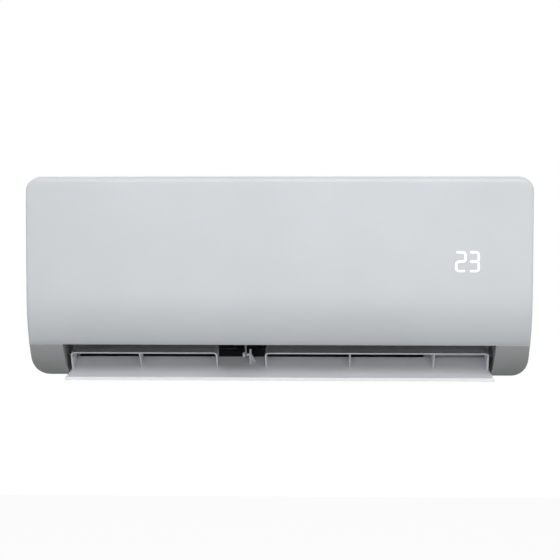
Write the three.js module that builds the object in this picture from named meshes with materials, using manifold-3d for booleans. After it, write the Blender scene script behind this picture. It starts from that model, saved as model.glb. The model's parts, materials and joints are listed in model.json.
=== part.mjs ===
// A wall-mounted air conditioner indoor unit, in millimetres, with its outlet flap open.
// X runs to the right seen from the front, Y runs into the wall and Z runs up.
// The origin is on the wall, at the middle of the unit's width and height.
// A section is drawn as [u, z], where u is the distance out from the wall.
import * as THREE from "three";
import { mergeVertices } from "three/addons/utils/BufferGeometryUtils.js";
import Module from "manifold-3d";

const wasm = await Module();
wasm.setup();

// Overall sizes.
const unitWidth = 724;
const unitHeight = 288;
const unitDepth = 198;
const sideTaper = 3; // each side comes in by this much from the top to the seam
const cornerRadius = 21; // top corners, seen from the front
const seamHeight = 47; // the front panel's lower edge above the underside

// Clearances.
const gap = 0.3; // between pieces that lie on each other
const pinPlay = 0.35; // between a pin and the round of its hole
const wall = 2.5; // moulded walls

// Wall plate and chassis.
const plateThickness = 1.5;
const plateWidth = 470;
const plateHeight = 170;
const backRecess = 8; // the chassis's back wall stands this far off the wall
const hookSpan = 300;
const hookWidth = 26;

// Fan.
const fanRadius = 44;
const fanBladeCount = 18;
const fanDiscCount = 5;
const fanShaftRadius = 4;
const scrollStartRadius = 51;
const scrollEndRadius = 80;
const scrollStartAngle = 130;
const scrollEndAngle = 255;
const ductLeftInset = 60; // from the unit's left side to the air duct
const ductRightInset = 147; // from the unit's right side, past the motor bay
const motorRadius = 42;
const motorLength = 60;

// Outlet.
const mouthTopInset = 52; // from the unit's side to the outlet's end, at the seam
const mouthBottomInset = 54.5; // the same at the underside
const flapSideGap = 1.4;
const flapThickness = 3.2;
const flapLipWidth = 6;
const flapOpening = 58.5; // degrees from closed to the pose that is drawn
const flapPinRadius = 2;
const bladeThickness = 2.4;
const vaneCount = 5; // in each set
const vaneThickness = 1.6;
const vaneHeight = 24;
const linkPinOffset = 14; // from a vane's pivot to its link bar

// Evaporator.
const finDepth = 20;
const frontFinLength = 78;
const upperFinLength = 78;
const rearFinLength = 74;
const tubeRadius = 3.5;
const tubePitch = 20;
const gasPipeRadius = 4.76;
const liquidPipeRadius = 3.18;

// Front panel and what is behind it.
const panelWall = 2.6;
const panelBackGap = 0.6; // between the casing's front and the panel's rim
const hingeDrop = 6; // the hinge axis below the top
const hingeInset = 30; // the hinge arms from the panel's sides
const filterThickness = 4;
const filterBorder = 8;
const digitHeight = 30.5;
const digitWidth = 17;
const digitStroke = 4;
const buttonRadius = 4;

const top = unitHeight / 2;
const bottom = -unitHeight / 2;
const halfWidth = unitWidth / 2;
const seam = bottom + seamHeight;
const ductLeft = -halfWidth + ductLeftInset;
const ductRight = halfWidth - ductRightInset;

// A place in the section, measured back from the front and up from the underside.
const at = (fromFront, aboveBottom) => [unitDepth - fromFront, bottom + aboveBottom];

const fanAxis = at(112, 114);
const flapAxis = at(68, 30.5);
const hingeAxis = [unitDepth - 15, top - hingeDrop];
const casingFront = hingeAxis[0] - hingeDrop - panelBackGap;
const backWallFront = backRecess + wall;

// ---------- Drawing ----------

function shapeOf(points) {
  return new THREE.Shape(points.map(([a, b]) => new THREE.Vector2(a, b)));
}

// A round outline of straight sides, whose corners lie on the radius.
function roundShape(radius, sides, [a, b] = [0, 0]) {
  const corner = (index) => (2 * Math.PI * (index + 0.5)) / sides;
  return shapeOf(
    Array.from({ length: sides }, (_, index) => [
      a + radius * Math.cos(corner(index)),
      b + radius * Math.sin(corner(index)),
    ]),
  );
}

function solidOf(geometry) {
  const bare = geometry.clone();
  bare.deleteAttribute("normal");
  bare.deleteAttribute("uv");
  const merged = mergeVertices(bare, 1e-4);
  const make = (triVerts) =>
    new wasm.Manifold(
      new wasm.Mesh({ numProp: 3, vertProperties: merged.attributes.position.array, triVerts }),
    );
  const triangles = new Uint32Array(merged.index.array);
  const made = make(triangles);
  return made.volume() > 0 ? made : make(triangles.reverse());
}

function geometryOf(solid) {
  const mesh = solid.getMesh();
  const geometry = new THREE.BufferGeometry();
  geometry.setAttribute("position", new THREE.BufferAttribute(mesh.vertProperties, 3));
  geometry.setIndex(new THREE.BufferAttribute(mesh.triVerts, 1));
  geometry.computeVertexNormals();
  return geometry;
}

const joined = (solids) => solids.reduce((sum, next) => sum.add(next));
const cutBy = (solid, cutters) => solid.subtract(joined(cutters));

function extruded(shape, depth, basis, place) {
  const geometry = new THREE.ExtrudeGeometry(shape, { depth, bevelEnabled: false, curveSegments: 8 });
  const axes = basis.map((axis) => new THREE.Vector3(...axis));
  return solidOf(geometry.applyMatrix4(new THREE.Matrix4().makeBasis(...axes).setPosition(...place)));
}

// A [u, z] section drawn out along X.
function alongX(shape, xFrom, xTo) {
  return extruded(shape, xTo - xFrom, [[0, -1, 0], [0, 0, 1], [-1, 0, 0]], [xTo, 0, 0]);
}

// An [x, z] outline drawn out from the wall.
function alongU(shape, uFrom, uTo) {
  return extruded(shape, uTo - uFrom, [[1, 0, 0], [0, 0, 1], [0, -1, 0]], [0, -uFrom, 0]);
}

function block([xFrom, xTo], [uFrom, uTo], [zFrom, zTo]) {
  const geometry = new THREE.BoxGeometry(xTo - xFrom, uTo - uFrom, zTo - zFrom);
  return solidOf(geometry.translate((xFrom + xTo) / 2, -(uFrom + uTo) / 2, (zFrom + zTo) / 2));
}

const point = (x, u, z) => new THREE.Vector3(x, -u, z);

function rod(from, to, radius, sides = 12) {
  const axis = to.clone().sub(from);
  const turn = new THREE.Quaternion().setFromUnitVectors(
    new THREE.Vector3(0, 1, 0),
    axis.clone().normalize(),
  );
  const geometry = new THREE.CylinderGeometry(radius, radius, axis.length(), sides);
  const middle = from.clone().add(to).divideScalar(2);
  return solidOf(geometry.applyQuaternion(turn).translate(middle.x, middle.y, middle.z));
}

const rodX = (xFrom, xTo, [u, z], radius, sides) =>
  rod(point(xFrom, u, z), point(xTo, u, z), radius, sides);
const rodU = (uFrom, uTo, [x, z], radius, sides) =>
  rod(point(x, uFrom, z), point(x, uTo, z), radius, sides);

const minus = (a, b) => [a[0] - b[0], a[1] - b[1]];
const unit = ([a, b]) => [a / Math.hypot(a, b), b / Math.hypot(a, b)];
const leftOf = ([a, b]) => [-b, a];
const moved = ([a, b], direction, amount) => [a + direction[0] * amount, b + direction[1] * amount];

// A strip of even thickness on the left of a line of points.
function strip(points, thickness) {
  const shifted = points.map((here, index) => {
    const before = points[Math.max(index - 1, 0)];
    const after = points[Math.min(index + 1, points.length - 1)];
    const first = index > 0 ? leftOf(unit(minus(here, before))) : leftOf(unit(minus(after, here)));
    const last = index < points.length - 1 ? leftOf(unit(minus(after, here))) : first;
    const between = unit([first[0] + last[0], first[1] + last[1]]);
    return moved(here, between, thickness / (between[0] * first[0] + between[1] * first[1]));
  });
  return shapeOf([...points, ...shifted.reverse()]);
}

const polar = ([a, b], radius, degrees) => {
  const angle = THREE.MathUtils.degToRad(degrees);
  return [a + radius * Math.cos(angle), b + radius * Math.sin(angle)];
};

// Points on a curve that is bent by one control point.
function bend(from, control, to, count) {
  const curve = new THREE.QuadraticBezierCurve(
    new THREE.Vector2(...from),
    new THREE.Vector2(...control),
    new THREE.Vector2(...to),
  );
  return curve.getPoints(count).map((p) => [p.x, p.y]);
}

// A route of straight runs with round corners. It steps from one end of a run or
// arc to the next, so a long straight run takes one step.
class RoundedRoute extends THREE.Curve {
  constructor(corners, radius, arcSteps) {
    super();
    this.places = [];
    this.headings = [];
    const put = (place, heading) => {
      const last = this.places[this.places.length - 1];
      if (last && last.distanceTo(place) < 0.01) return;
      this.places.push(place);
      this.headings.push(heading);
    };
    const heading = (from, to) => to.clone().sub(from).normalize();
    put(corners[0], heading(corners[0], corners[1]));
    for (let i = 1; i < corners.length - 1; i += 1) {
      const into = heading(corners[i - 1], corners[i]);
      const out = heading(corners[i], corners[i + 1]);
      const turn = into.angleTo(out);
      const reach = radius * Math.tan(turn / 2);
      const start = corners[i].clone().addScaledVector(into, -reach);
      const centre = start.clone().addScaledVector(
        out.clone().addScaledVector(into, -out.dot(into)).normalize(),
        radius,
      );
      const spin = into.clone().cross(out).normalize();
      for (let step = 0; step <= arcSteps; step += 1) {
        const angle = (turn * step) / arcSteps;
        const spoke = start.clone().sub(centre).applyAxisAngle(spin, angle);
        put(centre.clone().add(spoke), into.clone().applyAxisAngle(spin, angle));
      }
    }
    const end = corners.length - 1;
    put(corners[end], heading(corners[end - 1], corners[end]));
  }

  get steps() {
    return this.places.length - 1;
  }

  getPoint(t) {
    return this.places[Math.round(t * this.steps)].clone();
  }

  getPointAt(t) {
    return this.getPoint(t);
  }

  getTangentAt(t) {
    return this.headings[Math.round(t * this.steps)].clone();
  }
}

function bentRod(corners, radius, bendRadius, sides = 8, arcSteps = 4) {
  const route = new RoundedRoute(corners, bendRadius, arcSteps);
  const section = roundShape(radius, sides);
  return solidOf(
    new THREE.ExtrudeGeometry(section, { steps: route.steps, extrudePath: route, bevelEnabled: false }),
  );
}

function finish(color, roughness, metalness = 0) {
  return new THREE.MeshStandardMaterial({ color, roughness, metalness });
}

const finishes = {
  white: finish("#d3d6da", 0.45),
  grey: finish("#85878a", 0.55),
  dark: finish("#26282a", 0.6),
  steel: finish("#b9bcbf", 0.4, 0.9),
  motor: finish("#9a9c9e", 0.5),
  copper: finish("#b8734a", 0.35, 1),
  brass: finish("#c2a25a", 0.35, 1),
  fins: finish("#c9ccce", 0.4, 0.9),
  rubber: finish("#1c1c1d", 0.85),
  foam: finish("#3a3b3d", 0.9),
  filter: finish("#9fb0b8", 0.7),
  board: finish("#2f6b45", 0.5),
  glow: finish("#ffffff", 0.3),
};

const unitGroup = new THREE.Group();

// Adds a solid as a named mesh. A solid that is drawn in the unit's frame for a
// group elsewhere is first moved back by that group's place.
function addPiece(name, solid, material, group = unitGroup, drawnAt = new THREE.Vector3()) {
  const geometry = geometryOf(solid).translate(-drawnAt.x, -drawnAt.y, -drawnAt.z);
  const mesh = new THREE.Mesh(geometry, material.clone());
  mesh.name = name;
  group.add(mesh);
  return mesh;
}

// ---------- Front panel ----------

const halfWidthAt = (z) => halfWidth - (sideTaper * (top - z)) / (top - seam);
const mirrorSides = [-1, 1];
const spanOf = (side, inner, outer) => (side > 0 ? [inner, outer] : [-outer, -inner]);

// The unit seen from the front, drawn in by an inset, down to a given height.
function frontOutline(inset, zBottom) {
  const radius = cornerRadius - inset;
  const centre = [halfWidthAt(top - cornerRadius) - inset - radius, top - inset - radius];
  const foot = halfWidthAt(zBottom) - inset;
  const shape = new THREE.Shape();
  shape.moveTo(-foot, zBottom);
  shape.lineTo(foot, zBottom);
  shape.absarc(centre[0], centre[1], radius, 0, Math.PI / 2);
  shape.absarc(-centre[0], centre[1], radius, Math.PI / 2, Math.PI);
  shape.closePath();
  return shape;
}

const panelBack = hingeAxis[0] - hingeDrop;
const panelFoot = unitDepth - 18.5; // where the belly meets the seam
const faceSetback = 4; // the face leans back by this much at the top

// The panel's section: a round back edge about the hinge, a flat top, a face that
// leans back a little, and a belly that comes in to the seam.
function panelSection(inset, backReach) {
  const face = unitDepth - inset;
  const roof = top - inset;
  const backEdge = Array.from({ length: 7 }, (_, i) => polar(hingeAxis, hingeDrop - inset, 180 - 15 * i));
  const corner = bend([face - 9, roof], [face - faceSetback, roof], [face - faceSetback + 0.6, roof - 9], 4);
  const belly = bend([face, bottom + 124], [face, bottom + 74], [panelFoot - inset, seam + inset], 6);
  return shapeOf([
    [panelBack - backReach, seam + inset],
    [panelBack - backReach, hingeAxis[1]],
    ...backEdge,
    ...corner,
    [face - 1, top - 84],
    [face, bottom + 144],
    ...belly,
  ]);
}

// A seven-segment 2 or 3 round a middle point, grown by a margin.
function digitOutline(kind, width, [x, z], margin = 0) {
  const w = width / 2 + margin;
  const h = digitHeight / 2 + margin;
  const bar = digitStroke + 2 * margin;
  const half = bar / 2;
  const upper = [[w - bar, half], [w - bar, h - bar], [-w, h - bar], [-w, h], [w, h]];
  const lower = {
    two: [[w, -half], [bar - w, -half], [bar - w, bar - h], [w, bar - h], [w, -h], [-w, -h], [-w, half]],
    three: [[w, -h], [-w, -h], [-w, bar - h], [w - bar, bar - h], [w - bar, -half], [-w, -half], [-w, half]],
  }[kind];
  return shapeOf([...upper, ...lower].map(([dx, dz]) => [x + dx, z + dz]));
}

const displayCentre = [266, bottom + 165];
const digits = [
  { name: "display_digit_tens", kind: "two", width: digitWidth, x: displayCentre[0] - 9.4 },
  { name: "display_digit_units", kind: "three", width: digitWidth - 2.5, x: displayCentre[0] + 10.6 },
];
const digitDepth = 2.2;
const panelOuter = alongX(panelSection(0, 0), -halfWidth - 1, halfWidth + 1).intersect(
  alongU(frontOutline(0, seam), panelBack - 1, unitDepth + 1),
);

const armWidth = 5;
const earWidth = 4;
const earRadius = hingeDrop - panelWall - 0.4;
const armMiddle = halfWidth - hingeInset;
const earOuter = armMiddle - armWidth / 2 - gap;

function frontPanel() {
  const inner = alongX(panelSection(panelWall, 5), -halfWidth, halfWidth).intersect(
    alongU(frontOutline(panelWall, seam), panelBack - 6, unitDepth + 1),
  );
  const floor = unitDepth - digitDepth;
  const recesses = digits.map(({ kind, width, x }) =>
    alongU(digitOutline(kind, width, [x, displayCentre[1]], gap), floor, unitDepth + 1),
  );
  const notches = mirrorSides.map((side) =>
    block(
      spanOf(side, earOuter - earWidth - gap, earOuter + gap),
      [panelBack - 1, hingeAxis[0] - 2],
      [hingeAxis[1] - 1, top + 1],
    ),
  );
  const arms = mirrorSides.map((side) => {
    const [from, to] = spanOf(side, armMiddle - armWidth / 2, armMiddle + armWidth / 2);
    const web = shapeOf([
      [hingeAxis[0], hingeAxis[1] - 5],
      [unitDepth - faceSetback - 1, hingeAxis[1] - 16],
      [unitDepth - faceSetback - 1.5, top - 8],
      [hingeAxis[0], top - 1],
    ]);
    const arm = rodX(from, to, hingeAxis, 5).add(alongX(web, from, to));
    return arm.subtract(rodX(from - 1, to + 1, hingeAxis, flapPinRadius + pinPlay));
  });
  return joined([cutBy(panelOuter.subtract(inner), [...recesses, ...notches]), ...arms]);
}

function panelDigit({ kind, width, x }) {
  const plug = alongU(
    digitOutline(kind, width, [x, displayCentre[1]]),
    unitDepth - digitDepth + gap,
    unitDepth + 1,
  );
  return plug.intersect(panelOuter);
}

const housingHalf = [32, 21];
const housingFront = unitDepth - 1 - panelWall - gap;
const housingBack = housingFront - 11;

function displayHousing() {
  const [x, z] = displayCentre;
  const [w, h] = housingHalf;
  const outer = block([x - w, x + w], [housingBack, housingFront], [z - h, z + h]);
  const rim = 1.6;
  const inner = [
    [x - w + rim, x + w - rim],
    [housingBack + rim, housingFront + 1],
    [z - h + rim, z + h - rim],
  ];
  return outer.subtract(block(...inner));
}

function displayBoard() {
  const [x, z] = displayCentre;
  const [w, h] = housingHalf.map((half) => half - 1.6 - gap);
  const back = housingBack + 1.6 + gap;
  const board = block([x - w, x + w], [back, back + 1.6], [z - h, z + h]);
  const lamps = digits.map((digit) =>
    block([digit.x - 7, digit.x + 7], [back + 1, housingFront - gap], [z - 13, z + 13]),
  );
  return joined([board, ...lamps]);
}

// ---------- Casing ----------

const casingInset = 1;
const wallClear = 0.5; // everything but the wall plate stands this far off the wall
const casingInner = (z) => halfWidthAt(z) - casingInset - wall;
const filterBack = casingFront - 15;
const filterFront = filterBack + filterThickness;
const filterEnds = [ductLeft + 3, ductRight - 8];
const filterDivider = 5;
const filterMiddle = (filterEnds[0] + filterEnds[1]) / 2;
const filterSpans = [
  [filterEnds[0], filterMiddle - filterDivider / 2],
  [filterMiddle + filterDivider / 2, filterEnds[1]],
];
const filterFloor = bottom + 88;
const filterRoof = top - 12;
const railLip = 3;
const railThick = 2.6;

const grilleColumns = 12;
const grilleRows = [[24, 84], [92, 152]];
const grilleBar = 6;
const grilleHalf = halfWidth - 42;

const wiringWindow = { x: [ductRight + 13, halfWidth - 22], z: [bottom + 112, top - 44] };
const casingScrews = mirrorSides.map((side) => [side * (halfWidth - 112), seam + 17]);
const screwRadius = 2;
const buttonPlace = [halfWidth - 44, bottom + 96];

function filterRails() {
  const lipBack = filterBack - gap - railThick;
  const lipFront = filterFront + gap + railThick;
  const web = ([from, to]) =>
    block([from, to], [lipBack, casingFront - wall / 2], [filterFloor - 3, filterRoof]);
  const lips = (from, to) => [
    block([from, to], [lipBack, filterBack - gap], [filterFloor - 3, filterRoof]),
    block([from, to], [filterFront + gap, lipFront], [filterFloor - 3, filterRoof]),
  ];
  const stop = (from, to) => block([from, to], [lipBack, lipFront], [filterFloor - 3, filterFloor - gap]);
  const [left, right] = filterSpans;
  const webs = [
    web([left[0] - gap - railThick, left[0] - gap]),
    web([left[1] + gap, right[0] - gap]),
    web([right[1] + gap, right[1] + gap + railThick]),
  ];
  const edges = [
    [left[0] - gap - 1, left[0] + railLip],
    [left[1] - railLip, right[0] + railLip],
    [right[1] - railLip, right[1] + gap + 1],
  ];
  return [...webs, ...edges.flatMap(([from, to]) => [...lips(from, to), stop(from, to)])];
}

function casing() {
  const shell = alongU(frontOutline(casingInset, seam), wallClear, casingFront).subtract(
    alongU(frontOutline(casingInset + wall, seam - 5), wallClear - 1, casingFront - wall),
  );
  const windows = filterSpans.map(([from, to]) =>
    block(
      [from + filterBorder, to - filterBorder],
      [casingFront - wall - 1, casingFront + 1],
      [filterFloor + filterBorder, filterRoof - filterBorder],
    ),
  );
  const filterSlots = filterSpans.map(([from, to]) =>
    block([from - 0.5, to + 0.5], [filterBack - 0.8, filterFront + 0.8], [top - 8, top + 1]),
  );
  const pitch = (2 * grilleHalf) / grilleColumns;
  const grille = grilleRows.flatMap(([from, to]) =>
    Array.from({ length: grilleColumns }, (_, column) => {
      const left = -grilleHalf + column * pitch + grilleBar / 2;
      return block([left, left + pitch - grilleBar], [from, to], [top - 8, top + 1]);
    }),
  );
  const wiring = block(wiringWindow.x, [casingFront - wall - 1, casingFront + 1], wiringWindow.z);
  const frontHole = ([x, z], radius) => rodU(casingFront - wall - 1, casingFront + 1, [x, z], radius);
  const holes = [
    ...casingScrews.map((place) => frontHole(place, screwRadius + pinPlay)),
    frontHole(buttonPlace, buttonRadius + pinPlay),
  ];
  const ears = mirrorSides.map((side) => {
    const ear = spanOf(side, earOuter - earWidth, earOuter);
    const pin = spanOf(side, earOuter - 1, armMiddle + armWidth / 2 + 0.5);
    const neck = shapeOf([
      [casingFront - 1, hingeAxis[1] - 11],
      [hingeAxis[0], hingeAxis[1] - earRadius],
      [hingeAxis[0], hingeAxis[1] - 1],
      [casingFront - 1, hingeAxis[1] - 1],
    ]);
    return joined([
      alongX(neck, ...ear),
      rodX(...ear, hingeAxis, earRadius),
      rodX(...pin, hingeAxis, flapPinRadius),
    ]);
  });
  const open = cutBy(shell, [...windows, ...filterSlots, ...grille, wiring, ...holes]);
  return joined([open, ...ears, ...filterRails()]);
}

function wiringCover() {
  const inside = ([from, to]) => [from + gap, to - gap];
  return block(inside(wiringWindow.x), [casingFront - wall, casingFront], inside(wiringWindow.z));
}

function casingScrew([x, z]) {
  const head = rodU(casingFront + gap, casingFront + 2.4, [x, z], 4);
  return head.add(rodU(casingFront - wall - 8, casingFront + 1, [x, z], screwRadius));
}

function runButton() {
  const cap = rodU(casingFront - wall - 2, casingFront + 1.6, buttonPlace, buttonRadius);
  const flange = rodU(casingFront - wall - 1.8, casingFront - wall - gap, buttonPlace, buttonRadius + 1.4);
  return cap.add(flange);
}

// ---------- Lower cover ----------

// The lower corners are quarters of an ellipse, seen from the front.
const lowerCornerWidth = 22;
const lowerCornerHeight = 32;
const mouthHalf = (z) =>
  halfWidth - mouthTopInset - ((mouthBottomInset - mouthTopInset) * (seam - z)) / seamHeight;
const noseTip = [unitDepth - 16.5, seam - gap];
const noseBelly = at(41, 5);
const noseHeel = at(82, 0);
const flapHeel = [noseHeel[0] + 4, noseHeel[1] + 2];
const heelReach = Math.hypot(...minus(flapHeel, flapAxis));
const mouthLip = noseHeel[0] + 1; // the lower cover's floor ends here
const cheekInner = halfWidth - mouthTopInset + 1; // the outlet's end walls
const cheekBack = mouthLip - 31; // they run back past the chassis's closed ends

function lowerOutline(inset) {
  const side = halfWidthAt(seam) - casingInset - inset;
  const radii = [lowerCornerWidth - inset, lowerCornerHeight - inset];
  const centre = [side - radii[0], bottom + inset + radii[1]];
  const shape = new THREE.Shape();
  shape.moveTo(side, seam + 10);
  shape.lineTo(-side, seam + 10);
  shape.absellipse(-centre[0], centre[1], ...radii, Math.PI, 1.5 * Math.PI);
  shape.absellipse(centre[0], centre[1], ...radii, 1.5 * Math.PI, 2 * Math.PI);
  shape.closePath();
  return shape;
}

function lowerSection(inset, roof) {
  const tip = [noseTip[0] - inset, noseTip[1]];
  const belly = [noseBelly[0] - inset * 0.7, noseBelly[1] + inset * 0.7];
  const heel = [noseHeel[0], noseHeel[1] + inset];
  const back = inset > 0 ? wallClear - 1 : wallClear;
  return shapeOf([[back, heel[1]], [back, roof], [tip[0], roof], ...bend(tip, belly, heel, 8)]);
}

function mouthOutline(margin) {
  const corner = (z) => mouthHalf(z) + margin;
  const [roof, floor] = [seam + 1, bottom - 1];
  return shapeOf([
    [-corner(floor), floor],
    [corner(floor), floor],
    [corner(roof), roof],
    [-corner(roof), roof],
  ]);
}

function lowerCover() {
  const outer = alongX(lowerSection(0, seam - gap), -halfWidth, halfWidth).intersect(
    alongU(lowerOutline(0), 0, unitDepth),
  );
  const inner = alongX(lowerSection(wall, seam + 1), -halfWidth, halfWidth).intersect(
    alongU(lowerOutline(wall), -1, unitDepth),
  );
  const mouth = alongU(mouthOutline(0), mouthLip, unitDepth + 1);
  const shell = outer.subtract(inner).subtract(mouth);
  const cheeks = mirrorSides.map((side) => {
    const span = spanOf(side, cheekInner, cheekInner + wall);
    const wallPart = outer.intersect(
      block(span, [cheekBack, unitDepth], [bottom, seam]),
    );
    return wallPart.subtract(rodX(span[0] - 1, span[1] + 1, flapAxis, flapPinRadius + 1.5));
  });
  return joined([shell, ...cheeks]);
}

// ---------- Chassis ----------

// The scroll opens evenly round the fan and runs out into a straight floor.
const scrollPoint = (degrees) => {
  const share = (degrees - scrollStartAngle) / (scrollEndAngle - scrollStartAngle);
  return polar(fanAxis, scrollStartRadius + (scrollEndRadius - scrollStartRadius) * share, degrees);
};
const scrollPoints = Array.from({ length: 11 }, (_, i) =>
  scrollPoint(scrollStartAngle + ((scrollEndAngle - scrollStartAngle) * i) / 10),
);
const scrollEnd = scrollPoints[scrollPoints.length - 1];
// The outlet's floor ends just behind the circle that the flap's heel swings through.
const floorLip = polar(flapAxis, heelReach + 2.5 * gap, 233.4);
const chassisHalf = casingInner(seam) - 0.6;
const shelfHeight = top - casingInset - wall - gap;
const sideTop = top - cornerRadius - 3; // the chassis's sides end under the casing's round corners
const channelRoof = bottom + 66; // over the pipes behind the scroll
const bayFloor = bottom + 64; // under the motor
const tongueBack = fanAxis[0] + 42; // the drain pan's edge beside the fan
const vaneAngle = 250;

// The closed end of the outlet, which keeps clear of the flap's rear edge.
const mouthEnd = [
  at(114, 22),
  at(110, 29),
  at(103, 54),
  [fanAxis[0] + 16, bayFloor - 2],
];

const [hookLow, hookHigh] = [-plateHeight / 2 + 12, plateHeight / 2 - 16].map((z) => z + 10);
const hookSides = mirrorSides.map((side) => (side * hookSpan) / 2);
const hookThickness = 1.5;

function endWallSection() {
  return shapeOf([
    [backWallFront - 1, channelRoof - 2],
    [scrollPoints[5][0] - 2, channelRoof - 2],
    ...scrollPoints.slice(7).map((p) => moved(p, unit(minus(p, fanAxis)), 1)),
    mouthEnd[0],
    mouthEnd[1],
    mouthEnd[2],
    [fanAxis[0] + 16, bayFloor - 1],
    [tongueBack - gap, bayFloor + 8],
    [tongueBack - gap, fanAxis[1] + 18],
    [fanAxis[0] + 14, fanAxis[1] + 54],
    [fanAxis[0] - 30, fanAxis[1] + 58],
    [backWallFront - 1, fanAxis[1] + 58],
  ]);
}

const bearingHoleRadius = 22;
const hubHoleRadius = 20;
const cradleSpans = [0, 1].map((end) => {
  const middle = ductRight + 24 + end * 34;
  return [middle - 2, middle + 2];
});

// The saddle under the motor, open to the round of its body.
function motorCradle(span) {
  const saddle = shapeOf([
    [fanAxis[0] - 54, bayFloor],
    [fanAxis[0] + 40, bayFloor],
    [fanAxis[0] + 54, fanAxis[1] - 34],
    [fanAxis[0] + 54, fanAxis[1] - 18],
    [fanAxis[0] - 54, fanAxis[1] - 18],
  ]);
  return alongX(saddle, ...span).subtract(
    rodX(span[0] - 1, span[1] + 1, fanAxis, motorRadius + gap, 24),
  );
}

const controlBox = {
  x: [halfWidth - 66, halfWidth - 16],
  u: [unitDepth - 136, casingFront - 8],
  z: [bottom + 84, top - 32],
};

function chassis() {
  const backWall = block([-chassisHalf, chassisHalf], [backRecess, backWallFront], [channelRoof, sideTop]);
  const sides = mirrorSides.map((side) =>
    block(spanOf(side, chassisHalf - wall, chassisHalf), [wallClear, backRecess + 42], [seam + 2, sideTop]),
  );
  const shelfSpan = [cornerRadius - halfWidth + 4, halfWidth - cornerRadius - 4];
  const shelf = block(shelfSpan, [wallClear, backRecess + 12], [shelfHeight - wall, shelfHeight]).add(
    block(shelfSpan, [backRecess, backWallFront], [sideTop - 1, shelfHeight]),
  );
  const pipeRoof = block(
    [-chassisHalf, chassisHalf],
    [backRecess, scrollPoints[5][0] + 3],
    [channelRoof, channelRoof + wall],
  );
  const scroll = alongX(strip([...scrollPoints].reverse(), wall), ductLeft, ductRight);
  const floor = alongX(strip([floorLip, scrollEnd], wall), -cheekInner + gap, cheekInner - gap);
  const toScroll = scrollPoints[0][0] - backWallFront;
  const troughLine = [
    [backWallFront - 1, scrollPoints[0][1] + 17],
    [backWallFront + 0.8 * toScroll, scrollPoints[0][1] + 4],
    scrollPoints[0],
  ];
  const trough = alongX(strip(troughLine, wall), ductLeft, ductRight);
  const upstand = alongX(
    strip([moved(scrollPoints[0], [0, 1], -1), moved(scrollPoints[0], [0.2, 1], 11)], wall - 0.5),
    ductLeft,
    ductRight,
  );
  const leftEnd = alongX(endWallSection(), ductLeft - wall, ductLeft).subtract(
    rodX(ductLeft - wall - 1, ductLeft + 1, fanAxis, bearingHoleRadius + gap, 24),
  );
  const rightEnd = alongX(endWallSection(), ductRight, ductRight + wall).subtract(
    rodX(ductRight - 1, ductRight + wall + 1, fanAxis, hubHoleRadius, 24),
  );
  const mouthEnds = [
    [-cheekInner + gap, ductLeft],
    [ductRight, cheekInner - gap],
  ].map((span) => alongX(strip(mouthEnd, wall), ...span));
  const bay = block(
    [ductRight, chassisHalf],
    [fanAxis[0] - 40, tongueBack - 11],
    [bayFloor, bayFloor + wall],
  );
  const boxPosts = [0.2, 0.8].map((share) => {
    const middle = controlBox.u[0] + share * (tongueBack - 11 - controlBox.u[0]);
    return block(
      [controlBox.x[0] + 4, controlBox.x[1] - 4],
      [middle - wall / 2, middle + wall / 2],
      [bayFloor, controlBox.z[0] - gap],
    );
  });
  const body = joined([
    backWall,
    ...sides,
    shelf,
    pipeRoof,
    scroll,
    floor,
    trough,
    upstand,
    leftEnd,
    rightEnd,
    ...mouthEnds,
    bay,
    ...cradleSpans.map(motorCradle),
    ...boxPosts,
  ]);
  return cutBy(body, [...hookSlots(), ...vanePinHoles(), pipeDrop()]);
}

// Slots in the back wall, whose edges rest on the wall plate's hooks.
function hookSlots() {
  return hookSides.flatMap((x) => {
    const across = [x - hookWidth / 2 - 1, x + hookWidth / 2 + 1];
    const through = [backRecess - 1, backWallFront + 1];
    return [
      block(across, through, [hookHigh - 12, hookHigh + hookThickness + gap]),
      block(across, through, [hookLow - hookThickness - gap, hookLow + 12]),
    ];
  });
}

// The gap in the channel's roof that the two pipes come down through.
const pipeDropSpan = [ductRight + 12, ductRight + 70];

function pipeDrop() {
  const through = [channelRoof - 1, channelRoof + wall + 1];
  return block(pipeDropSpan, [backWallFront + 1, scrollPoints[5][0] + 4], through);
}

function mountingPlate() {
  const plate = block(
    [-plateWidth / 2, plateWidth / 2],
    [0, plateThickness],
    [hookLow - 20, hookHigh + 24],
  );
  const windows = mirrorSides.map((side) =>
    block(
      spanOf(side, plateWidth * 0.12, plateWidth * 0.43),
      [-1, plateThickness + 1],
      [hookLow + 34, hookHigh - 34],
    ),
  );
  const screwHoles = [-0.46, -0.25, 0.25, 0.46].flatMap((share) =>
    [hookLow - 10, hookHigh + 14].map((z) =>
      rodU(-1, plateThickness + 1, [share * plateWidth, z], 3, 8),
    ),
  );
  const reach = backWallFront + gap;
  const hooks = hookSides.flatMap((x) => {
    const across = [x - hookWidth / 2, x + hookWidth / 2];
    const out = [plateThickness - 0.5, reach + hookThickness];
    const tab = (zFrom) => block(across, out, [zFrom, zFrom + hookThickness]);
    const lip = (zFrom, zTo) => block(across, [reach, reach + hookThickness], [zFrom, zTo]);
    return [
      tab(hookHigh),
      lip(hookHigh, hookHigh + 10),
      tab(hookLow - hookThickness),
      lip(hookLow - 8, hookLow),
    ];
  });
  return joined([cutBy(plate, [...windows, ...screwHoles]), ...hooks]);
}

// ---------- Drain pan and outlet frame ----------

const panFloor = bottom + 78;
const panFront = unitDepth - 43;
const ceilingFront = [unitDepth - 26.4, seam + 4];
const panSpan = [ductLeft, ductRight];
const flangeFront = casingFront - wall - gap;
const spoutRadius = 7;
const spoutAt = [panFront - 14, panFloor + 10];

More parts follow.
